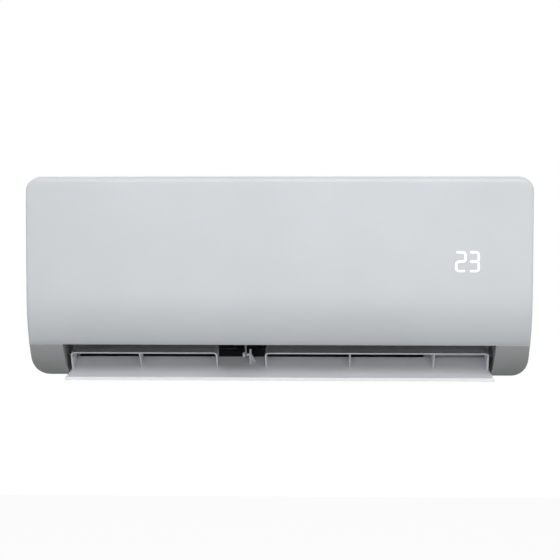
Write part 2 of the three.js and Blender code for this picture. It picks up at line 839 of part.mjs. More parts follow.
function drainPan() {
  const [left, right] = panSpan;
  const tongue = [tongueBack + 1, bottom + 93];
  const trough = strip(
    [
      [panFront + wall, panFloor + 14],
      [panFront + wall, panFloor],
      [tongueBack, panFloor],
      tongue,
    ].reverse(),
    wall,
  );
  const ceilingLine = [
    [tongueBack + 1, panFloor + 1],
    [tongueBack + 10, panFloor - 6],
    [tongueBack + 25, panFloor - 18],
    ceilingFront,
  ];
  const ceiling = alongX(strip(ceilingLine, wall), left, right + wall);
  const bayCeiling = alongX(
    strip([[fanAxis[0] + 20, bayFloor - 5], ceilingFront], wall),
    right,
    cheekInner + wall,
  );
  const leftCeiling = alongX(
    strip([[fanAxis[0] + 20, bayFloor - 5], ceilingFront], wall),
    -cheekInner - wall,
    left,
  );
  const step = shapeOf([
    [tongueBack + 3, panFloor - 10],
    [fanAxis[0] + 23, bayFloor - 5],
    [ceilingFront[0], ceilingFront[1] + 1],
    [tongueBack + 25, panFloor - 17],
    [tongueBack + 10, panFloor - 5],
  ]);
  const flange = block(
    [-cheekInner, cheekInner],
    [flangeFront - wall, flangeFront],
    [ceilingFront[1], seam + 24],
  );
  const cheekShape = shapeOf([
    [fanAxis[0] + 20, bayFloor - 5],
    [mouthLip + 2, bottom + 8],
    [flapAxis[0], bottom + 12],
    [flapAxis[0] + 14, flapAxis[1] - 4],
    [flangeFront, seam + 4],
    [flangeFront, seam + 24],
    [flangeFront - 8, seam + 24],
  ]);
  const cheeks = mirrorSides.map((side) => {
    const span = spanOf(side, cheekInner + wall + gap, cheekInner + 2 * wall + gap);
    const bridge = spanOf(side, cheekInner - 1, cheekInner + wall + gap + 1);
    const hole = rodX(span[0] - 1, span[1] + 1, flapAxis, flapPinRadius + (side > 0 ? 1.5 : pinPlay));
    const tie = block(bridge, [flangeFront - wall, flangeFront], [seam + 4, seam + 24]);
    return alongX(cheekShape, ...span).subtract(hole).add(tie);
  });
  const ends = [
    [left, left + wall],
    [right - wall, right],
  ].map((span) =>
    block(span, [tongueBack, panFront + wall], [panFloor, panFloor + 12]),
  );
  const spouts = mirrorSides.map((side) => {
    const root = side > 0 ? right : left;
    return rodX(...(side > 0 ? [root - 1, root + 12] : [root - 12, root + 1]), spoutAt, spoutRadius);
  });
  const bores = mirrorSides.map((side) => {
    const root = side > 0 ? right : left;
    return rodX(root - 14, root + 14, spoutAt, spoutRadius - 1.8);
  });
  const holes = casingScrews.map((place) =>
    rodU(flangeFront - wall - 1, flangeFront + 1, place, screwRadius + pinPlay),
  );
  const body = joined([
    alongX(trough, left, right),
    ceiling,
    bayCeiling,
    leftCeiling,
    alongX(step, right, right + wall),
    alongX(step, left - wall, left),
    flange,
    ...cheeks,
    ...ends,
    ...spouts,
  ]);
  return cutBy(body, [...bores, ...holes]);
}

function drainPlug() {
  const end = ductRight + 12;
  const cap = rodX(end + gap, end + 4, spoutAt, spoutRadius);
  return cap.add(rodX(end - 8, end + 1, spoutAt, spoutRadius - 1.8 - gap));
}

// ---------- Outlet flap, drawn closed ----------

const flapNose = [noseTip[0] - 0.5, seam - 1];
const flapBelly = [noseBelly[0] - 7, noseBelly[1] + 5]; // the caps stand a little prouder
const flapHalf = (z) => mouthHalf(z) - flapSideGap;
const lugWidth = 2.5;
const lugOuter = flapHalf(bottom);
const bladeOuter = lugOuter - lugWidth - gap; // the inner blades' outer ends
const lugRadius = 5;
const centreFin = -45.2; // the left face of the fin that carries the flap's middle
const centreFinWidth = 3.8;
const centreGussetWidth = 7; // how far its gusset reaches over the flap
const centreArmAt = centreFin - lugWidth - 2.7;
const flapSkin = bend(flapNose, flapBelly, flapHeel, 12);

// The flap's upper face, or a line that stands off it.
const aboveSkin = (height) =>
  flapSkin.map((here, index) => {
    const next = flapSkin[Math.min(index + 1, flapSkin.length - 1)];
    const before = flapSkin[Math.max(index - 1, 0)];
    return moved(here, leftOf(unit(minus(before, next))), height);
  });

// The solid of an outline that is drawn as seen from the front when the flap
// stands open, given about the flap's axis.
function alongOpenView(shape, depth) {
  const angle = THREE.MathUtils.degToRad(flapOpening);
  const [across, up] = [Math.cos(angle), Math.sin(angle)];
  const basis = [[1, 0, 0], [0, up, across], [0, -across, up]];
  const start = moved(flapAxis, [across, up], -depth / 2);
  return extruded(shape, depth, basis, [0, -start[0], start[1]]);
}

function centreFinSolid() {
  const middle = aboveSkin(flapThickness / 2);
  const onAxis = (u, z) => [flapAxis[0] + u, flapAxis[1] + z];
  const side = shapeOf([middle[11], middle[9], onAxis(3.2, 3.3), onAxis(-6.2, 6.1), onAxis(-8.1, 2)]);
  const gussetSide = shapeOf([middle[11], middle[10], onAxis(-1, -1), onAxis(-6, 3)]);
  const right = centreFin + centreFinWidth;
  const front = shapeOf([
    [centreFin, -40],
    [right, -40],
    [right, 12],
    [centreFin + 1.4, 12],
  ]);
  const gussetFront = shapeOf([
    [right - 1, -40],
    [right + 3 * centreGussetWidth, -40],
    [right - 1, 3],
  ]);
  const [from, to] = [centreFin - 1, right + centreGussetWidth];
  const fin = alongX(side, from, to).intersect(alongOpenView(front, 80));
  const gusset = alongX(gussetSide, from, to).intersect(alongOpenView(gussetFront, 80));
  return fin.add(gusset).subtract(rodX(from, to + 1, flapAxis, flapPinRadius + pinPlay));
}

function flap() {
  const lip = [flapNose[0] - flapLipWidth, flapNose[1]];
  const section = shapeOf([...flapSkin, ...aboveSkin(flapThickness).slice(1).reverse(), lip]);
  const plan = shapeOf([
    [-flapHalf(bottom), bottom - 1],
    [flapHalf(bottom), bottom - 1],
    [flapHalf(seam), seam],
    [-flapHalf(seam), seam],
  ]);
  const plate = alongX(section, -halfWidth, halfWidth).intersect(alongU(plan, 0, unitDepth));
  const middle = aboveSkin(flapThickness / 2);
  const rise = shapeOf([
    middle[11],
    middle[6],
    [flapAxis[0] + lugRadius, flapAxis[1]],
    [flapAxis[0] - lugRadius, flapAxis[1]],
  ]);
  const lugs = mirrorSides.map((side) => {
    const [from, to] = spanOf(side, lugOuter - lugWidth, lugOuter);
    const lug = alongX(rise, from, to).add(rodX(from, to, flapAxis, lugRadius));
    return lug.subtract(rodX(from - 1, to + 1, flapAxis, flapPinRadius + pinPlay));
  });
  return joined([plate, ...lugs, centreFinSolid()]);
}

// The inner guide blades and their ribs, which stand on the flap. The inner ribs
// are at these shares of each blade's length.
const bladeFront = at(58.7, 51.8);
const bladeRear = at(89.3, 22.5);
const bladeBow = 3;
const bladeRibWidth = 1.6;
const bladeSpans = {
  left: { ends: [-bladeOuter, centreFin - 46.2], ribShares: [0, 0.47, 1] },
  right: { ends: [centreFin + 25.6, bladeOuter], ribShares: [0, 0.38, 0.76, 1] },
};

function innerBlade({ ends: [from, to], ribShares }) {
  const middle = [
    (bladeFront[0] + bladeRear[0]) / 2 + bladeBow,
    (bladeFront[1] + bladeRear[1]) / 2 - bladeBow,
  ];
  const blade = alongX(strip(bend(bladeFront, middle, bladeRear, 5), bladeThickness), from, to);
  const chord = unit(minus(bladeFront, bladeRear));
  const rib = (foot) =>
    shapeOf([
      moved(bladeRear, chord, 3),
      ...aboveSkin(flapThickness + gap).slice(foot, 12).reverse(),
      moved(bladeFront, chord, -3),
    ]);
  const ribs = ribShares.map((share) => {
    const start = from + share * (to - from - bladeRibWidth);
    const outer = Math.abs(start) > bladeOuter - 2 * bladeRibWidth;
    return alongX(rib(outer ? 5 : 7), start, start + bladeRibWidth);
  });
  return joined([blade, ...ribs]).subtract(rodX(from - 1, to + 1, flapAxis, flapPinRadius + pinPlay));
}

function flapPin() {
  const head = rodX(-cheekInner - 2 * wall - gap - 2, -cheekInner - 2 * wall - 2 * gap, flapAxis, 4);
  return head.add(rodX(-cheekInner - 2 * wall - 1, -lugOuter + lugWidth, flapAxis, flapPinRadius));
}

function centreArm() {
  const arm = shapeOf([
    [flapAxis[0] - 4, flapAxis[1]],
    [flapAxis[0] + 4, flapAxis[1]],
    [flapAxis[0] + 21, ceilingFront[1] + 7.5],
    [flapAxis[0] + 12, ceilingFront[1] + 9],
  ]);
  const [from, to] = [centreArmAt, centreArmAt + lugWidth];
  const body = alongX(arm, from, to).add(rodX(from, to, flapAxis, 4.4));
  return body.subtract(rodX(from - 1, to + 1, flapAxis, flapPinRadius + pinPlay));
}

function centrePin() {
  const head = rodX(centreArmAt - 3.5, centreArmAt - gap, flapAxis, 3.4);
  return head.add(rodX(centreArmAt - 1, centreFin + centreFinWidth, flapAxis, flapPinRadius));
}

const flapMotorFace = cheekInner + 2 * wall + 2 * gap;

function flapMotor() {
  const can = rodX(flapMotorFace, flapMotorFace + 19, flapAxis, 14, 20);
  const ears = shapeOf([
    [flapAxis[0] - 3.5, flapAxis[1] - 15.5],
    [flapAxis[0] + 3.5, flapAxis[1] - 15.5],
    [flapAxis[0] + 3.5, flapAxis[1] + 15.5],
    [flapAxis[0] - 3.5, flapAxis[1] + 15.5],
  ]);
  const socket = rodX(flapMotorFace - 1, flapMotorFace + 8, flapAxis, flapPinRadius + pinPlay);
  return can.add(alongX(ears, flapMotorFace, flapMotorFace + 1.2)).subtract(socket);
}

function flapDrivePin() {
  return rodX(lugOuter - lugWidth, flapMotorFace + 7, flapAxis, flapPinRadius);
}

// ---------- Deflector vanes ----------

const vaneRoot = scrollPoint(vaneAngle);
const vaneAlong = unit(minus(scrollPoint(vaneAngle + 2), scrollPoint(vaneAngle - 2)));
const vaneUp = leftOf(vaneAlong);
const inVane = (along, up) => moved(moved(vaneRoot, vaneAlong, along), vaneUp, up);
const vaneSets = [
  { side: "left", from: ductLeft + 20, to: centreFin - 23.3 },
  { side: "right", from: centreFin + 19.2, to: ductRight - 20 },
];
const vaneX = ({ from, to }, index) => from + ((to - from) * index) / (vaneCount - 1);
const barUp = [4.4, 6.4];
const barHalf = 3;

// A vane stands on a pin in the duct's floor. Its downstream foot is cut away over
// the link bar, and a second pin goes down into the bar.
function vane() {
  const blade = shapeOf([
    inVane(-17, 3),
    inVane(-6, 1.4),
    inVane(linkPinOffset - 5.5, 1.4),
    inVane(linkPinOffset - 5.5, barUp[1] + 0.8),
    inVane(linkPinOffset + 5, barUp[1] + 0.8),
    inVane(linkPinOffset + 7, vaneHeight - 5),
    inVane(linkPinOffset - 2, vaneHeight),
    inVane(-10, vaneHeight - 2),
    inVane(-17, vaneHeight - 7),
  ]);
  const pin = (along, upFrom, upTo) => {
    const [low, high] = [inVane(along, upFrom), inVane(along, upTo)];
    return rod(point(0, ...low), point(0, ...high), 1.2, 6);
  };
  const body = alongX(blade, -vaneThickness / 2, vaneThickness / 2);
  return joined([body, pin(0, -wall - 1, 4), pin(linkPinOffset, barUp[0] - 1, barUp[1] + 3)]);
}

function vanePinHoles() {
  return vaneSets.flatMap((set) =>
    Array.from({ length: vaneCount }, (_, index) => {
      const x = vaneX(set, index);
      return rod(point(x, ...inVane(0, -wall - 4)), point(x, ...inVane(0, 4)), 1.2 + 2 * pinPlay, 6);
    }),
  );
}

function linkBar(set) {
  const bar = shapeOf([
    inVane(linkPinOffset - barHalf, barUp[0]),
    inVane(linkPinOffset + barHalf, barUp[0]),
    inVane(linkPinOffset + barHalf, barUp[1]),
    inVane(linkPinOffset - barHalf, barUp[1]),
  ]);
  const [from, to] = [vaneX(set, 0) - 4, vaneX(set, vaneCount - 1) + 4];
  const holes = Array.from({ length: vaneCount }, (_, index) => {
    const x = vaneX(set, index);
    const [low, high] = [inVane(linkPinOffset, barUp[0] - 2), inVane(linkPinOffset, barUp[1] + 2)];
    return rod(point(x, ...low), point(x, ...high), 1.2 + 2 * pinPlay, 6);
  });
  return cutBy(alongX(bar, from, to), holes);
}

// ---------- Fan and its drive ----------

const fanSpan = [ductLeft + 6, ductRight - 10];
const discThickness = 2;
const bladeInner = fanRadius - 13;

function fanWheel() {
  const [left, right] = fanSpan;
  const step = (right - left - discThickness) / (fanDiscCount - 1);
  const discs = Array.from({ length: fanDiscCount }, (_, index) => {
    const from = left + index * step;
    const disc = rodX(from, from + discThickness, fanAxis, fanRadius, 24);
    if (index === 0) return disc;
    const last = index === fanDiscCount - 1;
    const holeRadius = last ? fanShaftRadius + gap : bladeInner - 3;
    return disc.subtract(rodX(from - 1, from + discThickness + 1, fanAxis, holeRadius));
  });
  const shaft = rodX(ductLeft - wall - 16, left + 1, fanAxis, fanShaftRadius);
  const hub = rodX(right - 14, right + 1, fanAxis, 12).subtract(
    rodX(right - 16, right + 2, fanAxis, fanShaftRadius + gap),
  );
  const blades = Array.from({ length: fanBladeCount }, (_, index) => {
    const angle = (360 * index) / fanBladeCount;
    const root = polar(fanAxis, bladeInner, angle);
    const tip = polar(fanAxis, fanRadius - 1, angle + 16);
    return alongX(strip([root, tip], 1.2), left + 0.5, right - 0.5);
  });
  return joined([...discs, ...blades, shaft, hub]);
}

function fanBearing() {
  const span = [ductLeft - wall - 14, ductLeft - wall - 4];
  const ring = rodX(...span, fanAxis, 12, 20);
  return ring.subtract(rodX(span[0] - 1, span[1] + 1, fanAxis, fanShaftRadius + gap));
}

// The cup is open on its inner face, so that the bearing can go in.
function bearingHolder() {
  const face = ductLeft - wall;
  const outer = face - 16;
  const cup = rodX(outer, face - gap, fanAxis, 16, 20).add(
    rodX(face - 2.4 - gap, face - gap, fanAxis, bearingHoleRadius + 6, 20),
  );
  const seat = rodX(face - 14 - gap, ductLeft, fanAxis, 12 + gap, 20);
  const shaftHole = rodX(outer - 1, ductLeft, fanAxis, fanShaftRadius + 1.5);
  return cutBy(cup, [seat, shaftHole]);
}

const motorSpan = [ductRight + 11, ductRight + 11 + motorLength];

function fanMotor() {
  const [from, to] = motorSpan;
  const inset = 6;
  const radii = [motorRadius, motorRadius - inset];
  const body = joined([
    rodX(from + inset, to - inset, fanAxis, radii[0], 24),
    rodX(from, to, fanAxis, radii[1], 24),
    rodX(from - 4, to, fanAxis, 12, 16),
  ]);
  return body.subtract(rodX(from - 5, to - 8, fanAxis, fanShaftRadius + gap));
}

function motorShaft() {
  const [from, to] = [fanSpan[1] - 13, motorSpan[1] - 9];
  return rodX(from, to, fanAxis, fanShaftRadius);
}

function motorClamp() {
  const [from] = cradleSpans[0];
  const to = cradleSpans[1][1];
  const rest = fanAxis[1] - 18 + gap;
  const inner = motorRadius + gap;
  const foot = (side) => [fanAxis[0] + side * inner, rest];
  const arc = Array.from({ length: 13 }, (_, i) => polar(fanAxis, inner, 180 - 15 * i));
  const line = [foot(-1), ...arc, foot(1)];
  const arch = alongX(strip(line, wall), from, to);
  const flanges = mirrorSides.map((side) => {
    const inside = fanAxis[0] + side * (inner + 1);
    const outside = fanAxis[0] + side * (inner + 11);
    return block([from, to], [Math.min(inside, outside), Math.max(inside, outside)], [rest, rest + wall]);
  });
  const [x, u] = clampScrewPlace;
  const hole = rod(point(x, u, rest - 1), point(x, u, rest + wall + 1), 1.6 + pinPlay, 10);
  return joined([arch, ...flanges]).subtract(hole);
}

// One screw goes through the clamp's rear foot, between the two saddle ribs.
const clampScrewPlace = [
  (cradleSpans[0][0] + cradleSpans[1][1]) / 2,
  fanAxis[0] - (motorRadius + gap + 7),
];

function clampScrew([x, u]) {
  const rest = fanAxis[1] - 18 + gap + wall;
  return rod(point(x, u, rest + gap), point(x, u, rest + 2.6), 3.2, 12).add(
    rod(point(x, u, rest - wall), point(x, u, rest + 1), 1.6, 10),
  );
}

// ---------- Evaporator ----------

const finSpan = [ductLeft + 8, ductRight - 12];
const slabs = {
  front: { root: at(63.5, 96), heading: unit([-4, 78]), length: frontFinLength },
  upper: { root: at(70, 181), heading: unit([-44, 64]), length: upperFinLength },
  rear: { root: at(119, 244), heading: unit([-40, -64]), length: rearFinLength },
};
const slabTubes = 4;

const slabPoint = ({ root, heading }, along, out) => {
  const outward = [heading[1], -heading[0]];
  return moved(moved(root, heading, along), outward, out);
};

// Where the tubes pass through one fin pack, from its foot to its head.
const tubeRow = (slab) =>
  Array.from({ length: slabTubes }, (_, index) => {
    const along = slab.length / 2 + (index - (slabTubes - 1) / 2) * tubePitch;
    return slabPoint(slab, along, finDepth / 2);
  });
const tubePlaces = [...tubeRow(slabs.front), ...tubeRow(slabs.upper), ...tubeRow(slabs.rear)];

const tubeHoles = (span) =>
  tubePlaces.map((place) => rodX(span[0] - 1, span[1] + 1, place, tubeRadius + 2 * gap, 6));

function finPack(slab) {
  const section = shapeOf([
    slabPoint(slab, 0, 0),
    slabPoint(slab, 0, finDepth),
    slabPoint(slab, slab.length, finDepth),
    slabPoint(slab, slab.length, 0),
  ]);
  return cutBy(alongX(section, ...finSpan), tubeHoles(finSpan));
}

const endPlateThickness = 1.2;

// An end plate follows the three packs, with a foot in the drain pan and one in
// the rear trough.
function endPlate(span) {
  const { front, upper, rear } = slabs;
  const outline = shapeOf([
    [panFront - 12, panFloor + wall + gap],
    [panFront - 12, panFloor + 18],
    slabPoint(front, front.length, finDepth + 0.5),
    slabPoint(upper, 0, finDepth + 0.5),
    slabPoint(upper, upper.length, finDepth + 0.5),
    slabPoint(rear, 0, finDepth + 0.5),
    slabPoint(rear, rear.length, finDepth + 0.5),
    [slabPoint(rear, rear.length, 0)[0] - 6, fanAxis[1] + 54],
    [slabPoint(rear, rear.length, 0)[0] + 3, fanAxis[1] + 52],
    slabPoint(rear, rear.length, -0.5),
    slabPoint(upper, upper.length, -2),
    slabPoint(front, front.length, -0.5),
    slabPoint(front, 2, -0.5),
    [tongueBack + 6, panFloor + 14],
    [tongueBack + 6, panFloor + wall + gap],
  ]);
  return cutBy(alongX(outline, ...span), tubeHoles(span));
}

const tubeEndLeft = finSpan[0] - tubePitch / 2 - 4;
const tubeEndRight = finSpan[1] + tubePitch / 2 + 4;

// One length of tube runs to and fro through all three packs.
function coilTubing() {
  const reach = tubePitch / 2;
  const corners = [];
  tubePlaces.forEach((place, index) => {
    const leftward = index % 2 === 0;
    const ends = leftward ? [tubeEndRight, tubeEndLeft] : [tubeEndLeft, tubeEndRight];
    corners.push(point(ends[0], ...place), point(ends[1], ...place));
  });
  corners[0] = point(finSpan[1] + 3, ...tubePlaces[0]);
  corners[corners.length - 1] = point(finSpan[1] + 3, ...tubePlaces[tubePlaces.length - 1]);
  return bentRod(corners, tubeRadius, Math.min(reach, shortestHop() / 2) - 0.2, 6, 3);
}

function shortestHop() {
  const hops = tubePlaces.slice(1).map((place, index) => Math.hypot(...minus(place, tubePlaces[index])));
  return Math.min(...hops);
}

// ---------- Pipes ----------

const gasPipeEnd = -halfWidth + 250;
const liquidPipeEnd = gasPipeEnd + 50;
const pipeRun = { gas: [backWallFront + 12, bottom + 40], liquid: [backWallFront + 8, bottom + 17] };
const nutLength = 20;

function gasPipe() {
  const start = tubePlaces[tubePlaces.length - 1];
  const x = pipeDropSpan[0] + 14;
  return bentRod(
    [
      point(finSpan[1] + 3 + gap, ...start),
      point(x, ...start),
      point(x, pipeRun.gas[0], start[1]),
      point(x, ...pipeRun.gas),
      point(gasPipeEnd, ...pipeRun.gas),
    ],
    gasPipeRadius,
    10,
    8,
    4,
  );
}

function liquidPipe() {
  const start = tubePlaces[0];
  const x = pipeDropSpan[0] + 54;
  const side = ductRight + wall + 6;
  const high = [pipeRun.gas[0] + 15, fanAxis[1] + motorRadius + 12];
  return bentRod(
    [
      point(finSpan[1] + 3 + gap, ...start),
      point(side, ...start),
      point(side, start[0], high[1]),
      point(side, ...high),
      point(x, ...high),
      point(x, high[0], pipeRun.liquid[1]),
      point(x, ...pipeRun.liquid),
      point(liquidPipeEnd, ...pipeRun.liquid),
    ],
    liquidPipeRadius,
    6,
    8,
    4,
  );
}

function flareNut(end, run, radius, pipeRadius) {
  const nut = rodX(end - nutLength * 0.6, end + nutLength * 0.4, run, radius, 6);
  return nut.subtract(rodX(end - nutLength, end + nutLength, run, pipeRadius + gap, 16));
}

function pipeSleeve() {
  const span = [gasPipeEnd + nutLength, pipeDropSpan[0] - 10];
  const sleeve = rodX(...span, pipeRun.gas, gasPipeRadius + 6, 16);
  return sleeve.subtract(rodX(span[0] - 1, span[1] + 1, pipeRun.gas, gasPipeRadius + gap, 12));
}

// ---------- Filters ----------

function filter([from, to]) {
  const frame = block([from, to], [filterBack, filterFront], [filterFloor, filterRoof]);
  const columns = 3;
  const rows = 3;
  const bar = 4;
  const wide = (to - from - 2 * filterBorder - (columns - 1) * bar) / columns;
  const high = (filterRoof - filterFloor - 2 * filterBorder - (rows - 1) * bar) / rows;
  const net = filterBack + (filterThickness - 0.8) / 2;
  const panes = [];
  for (let column = 0; column < columns; column += 1)
    for (let row = 0; row < rows; row += 1) {
      const x = from + filterBorder + column * (wide + bar);
      const z = filterFloor + filterBorder + row * (high + bar);
      panes.push(block([x, x + wide], [net + 0.8, filterFront + 1], [z, z + high]));
      panes.push(block([x, x + wide], [filterBack - 1, net], [z, z + high]));
    }
  const middle = (from + to) / 2;
  const handle = block([middle - 22, middle + 22], [filterBack, filterFront], [filterRoof - 1, top - 1.2]);
  return cutBy(frame.add(handle), panes);
}

// ---------- Controls ----------

const boxWall = 2;

function controlBoxTray() {
  const { x, u, z } = controlBox;
  const outer = block(x, [u[0], u[1] - boxWall], z);
  const inner = block(
    [x[0] + boxWall, x[1] - boxWall],
    [u[0] + boxWall, u[1]],
    [z[0] + boxWall, z[1] - boxWall],
  );
  return outer.subtract(inner);
}

function controlBoxCover() {
  const { x, u, z } = controlBox;
  return block(x, [u[1] - boxWall + gap, u[1]], z);
}

function mainBoard() {
  const { x, u, z } = controlBox;
  const face = x[0] + boxWall + gap;
  const board = block([face, face + 1.6], [u[0] + 5, u[1] - 8], [z[0] + 40, z[1] - 6]);
  const parts = [
    { at: [0.2, 0.3], size: 20, tall: 16 },
    { at: [0.55, 0.25], size: 16, tall: 22 },
    { at: [0.5, 0.7], size: 24, tall: 12 },
    { at: [0.15, 0.75], size: 12, tall: 18 },
  ].map(({ at: [a, b], size, tall }) => {
    const uFrom = u[0] + 6 + a * (u[1] - u[0] - 18);
    const zFrom = z[0] + 42 + b * (z[1] - z[0] - 52);
    const zTo = Math.min(zFrom + size, z[1] - 7);
    return block([face + 1, face + 1.6 + tall], [uFrom, uFrom + size], [zFrom, zTo]);
  });
  return joined([board, ...parts]);
}

function terminalBlock() {
  const { x, u, z } = controlBox;
  const middle = (x[0] + x[1]) / 2;
  const zFrom = z[0] + boxWall + gap;
  const body = block([middle - 19, middle + 19], [u[0] + 40, u[0] + 62], [zFrom, zFrom + 24]);
  const slots = [-12, -4, 4, 12].map((dx) =>
    block([middle + dx - 2.6, middle + dx + 2.6], [u[0] + 46, u[0] + 63], [zFrom + 8, zFrom + 25]),
  );
  return cutBy(body, slots);
}

function roomSensor() {
  const x = finSpan[1] - 40;
  const face = slabPoint(slabs.front, 40, finDepth + gap);
  const bead = rod(point(x, face[0] + 2.4, face[1] - 10), point(x, face[0] + 2.4, face[1] + 10), 2.2, 10);
  return bead;
}

// ---------- Assembly ----------

function groupAt(place) {
  const group = new THREE.Group();
  group.position.copy(place);
  unitGroup.add(group);
  return group;
}

addPiece("mounting_plate", mountingPlate(), finishes.steel);
addPiece("chassis", chassis(), finishes.white);
addPiece("drain_pan", drainPan(), finishes.dark);
addPiece("drain_plug", drainPlug(), finishes.rubber);
addPiece("casing", casing(), finishes.white);
addPiece("wiring_cover", wiringCover(), finishes.white);
addPiece("lower_cover", lowerCover(), finishes.grey);
casingScrews.forEach((place, index) =>
  addPiece(`casing_screw_${["left", "right"][index]}`, casingScrew(place), finishes.steel),
);
addPiece("run_button", runButton(), finishes.grey);

// The front panel and what it carries turn about the hinge.
const hingePlace = point(0, ...hingeAxis);
const panelGroup = groupAt(hingePlace);
addPiece("front_panel", frontPanel(), finishes.white, panelGroup, hingePlace);
digits.forEach((digit) => addPiece(digit.name, panelDigit(digit), finishes.glow, panelGroup, hingePlace));
addPiece("display_housing", displayHousing(), finishes.dark, panelGroup, hingePlace);
addPiece("display_board", displayBoard(), finishes.board, panelGroup, hingePlace);

// The flap is drawn closed and turned open about its pins.
const flapPlace = point(0, ...flapAxis);
const flapGroup = groupAt(flapPlace);
flapGroup.rotation.x = THREE.MathUtils.degToRad(flapOpening);
addPiece("main_flap", flap(), finishes.white, flapGroup, flapPlace);
Object.entries(bladeSpans).forEach(([side, span]) =>
  addPiece(`inner_blade_${side}`, innerBlade(span), finishes.white, flapGroup, flapPlace),
);
addPiece("flap_drive_pin", flapDrivePin(), finishes.grey, flapGroup, flapPlace);
addPiece("flap_pin", flapPin(), finishes.grey);
addPiece("centre_arm", centreArm(), finishes.grey);
addPiece("centre_pin", centrePin(), finishes.white);
addPiece("flap_motor", flapMotor(), finishes.motor);

// Each vane stands on its own pivot, and each set shares a link bar.
vaneSets.forEach((set) => {
  for (let index = 0; index < vaneCount; index += 1) {
    const group = groupAt(point(vaneX(set, index), ...vaneRoot));
    addPiece(`vane_${set.side}_${index + 1}`, vane(), finishes.dark, group, point(0, ...vaneRoot));
  }
  addPiece(`link_bar_${set.side}`, linkBar(set), finishes.dark);
});

// The fan wheel and the motor's shaft turn together.
const fanPlace = point(0, ...fanAxis);
const fanGroup = groupAt(fanPlace);
addPiece("fan_wheel", fanWheel(), finishes.dark, fanGroup, fanPlace);
addPiece("motor_shaft", motorShaft(), finishes.steel, fanGroup, fanPlace);
addPiece("fan_bearing", fanBearing(), finishes.rubber);
addPiece("bearing_holder", bearingHolder(), finishes.white);
addPiece("fan_motor", fanMotor(), finishes.motor);
addPiece("motor_clamp", motorClamp(), finishes.steel);
addPiece("clamp_screw", clampScrew(clampScrewPlace), finishes.steel);

Object.entries(slabs).forEach(([name, slab]) => addPiece(`fins_${name}`, finPack(slab), finishes.fins));
addPiece(
  "coil_plate_left",
  endPlate([finSpan[0] - gap - endPlateThickness, finSpan[0] - gap]),
  finishes.steel,
);
addPiece(
  "coil_plate_right",
  endPlate([finSpan[1] + gap, finSpan[1] + gap + endPlateThickness]),
  finishes.steel,
);
addPiece("coil_tubing", coilTubing(), finishes.copper);
addPiece("gas_pipe", gasPipe(), finishes.copper);
addPiece("liquid_pipe", liquidPipe(), finishes.copper);
addPiece("gas_nut", flareNut(gasPipeEnd, pipeRun.gas, 9.5, gasPipeRadius), finishes.brass);
addPiece("liquid_nut", flareNut(liquidPipeEnd, pipeRun.liquid, 8, liquidPipeRadius), finishes.brass);
addPiece("pipe_insulation", pipeSleeve(), finishes.foam);
addPiece("room_sensor", roomSensor(), finishes.rubber);

filterSpans.forEach((span, index) =>
  addPiece(`filter_${["left", "right"][index]}`, filter(span), finishes.filter),
);
addPiece("control_box", controlBoxTray(), finishes.white);
addPiece("control_box_cover", controlBoxCover(), finishes.white);
addPiece("main_board", mainBoard(), finishes.board);
addPiece("terminal_block", terminalBlock(), finishes.dark);

export default unitGroup;
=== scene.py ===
import json
import math

import bmesh
import bpy
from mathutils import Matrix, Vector


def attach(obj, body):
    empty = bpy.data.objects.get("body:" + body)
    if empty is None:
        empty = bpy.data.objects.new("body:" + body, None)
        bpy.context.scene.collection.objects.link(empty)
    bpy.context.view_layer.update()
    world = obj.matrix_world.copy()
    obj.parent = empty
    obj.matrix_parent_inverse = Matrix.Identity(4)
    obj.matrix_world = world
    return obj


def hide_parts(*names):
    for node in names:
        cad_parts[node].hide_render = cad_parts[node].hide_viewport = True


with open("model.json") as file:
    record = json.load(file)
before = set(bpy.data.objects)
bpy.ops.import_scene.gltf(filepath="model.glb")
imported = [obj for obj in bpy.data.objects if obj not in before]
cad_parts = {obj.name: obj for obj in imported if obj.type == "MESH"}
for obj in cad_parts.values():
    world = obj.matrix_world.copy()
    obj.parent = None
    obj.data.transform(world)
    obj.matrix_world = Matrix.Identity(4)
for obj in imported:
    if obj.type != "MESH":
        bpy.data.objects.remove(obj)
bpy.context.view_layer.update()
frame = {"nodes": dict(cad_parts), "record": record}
nodeSlots = {row["node"]: row["material_slot"] for row in frame["record"]["subparts"]}
nodeBodies = {
    node: body
    for body, nodes in frame["record"]["behaviour"]["bodies"].items()
    for node in nodes
}

# Sizes are in millimetres. x runs to the right, u out from the wall and z up.
unit = {
    "halfWidth": 362,
    "top": 144,
    "bottom": -144,
    "depth": 198,
    "seam": -97,
    "sideTaper": 3,
    "cornerRadius": 21,
}
mm = 0.001
# Points closer than this are one, in metres.
merging = 1e-6
# Edges sharper than this stay sharp, in degrees: on solids, and on bent sheets.
sharpAngle = 30
sheetAngle = 50


def place(x, u, z):
    return Vector((x * mm, -u * mm, z * mm))


def halfWidthAt(z):
    drop = (unit["top"] - z) / (unit["top"] - unit["seam"])
    return unit["halfWidth"] - unit["sideTaper"] * drop


def mixed(low, high, share):
    return low + (high - low) * share


# A value that changes evenly from the unit's bottom up to the seam.
def upToSeam(z, low, high):
    return mixed(low, high, (z - unit["bottom"]) / (unit["seam"] - unit["bottom"]))


# Points on a curve with one control point, both ends included.
def bentLine(start, control, end, count):
    points = []
    for step in range(count + 1):
        t = step / count
        shares = ((1 - t) ** 2, 2 * t * (1 - t), t * t)
        ways = zip(start, control, end)
        points.append(tuple(sum(p * q for p, q in zip(shares, way)) for way in ways))
    return points


def unitVector(a, b):
    length = math.hypot(a, b)
    return a / length, b / length


def arcPoints(centre, radius, fromDegrees, toDegrees, steps):
    points = []
    for step in range(steps + 1):
        turn = math.radians(mixed(fromDegrees, toDegrees, step / steps))
        points.append((centre[0] + radius * math.cos(turn), centre[1] + radius * math.sin(turn)))
    return points


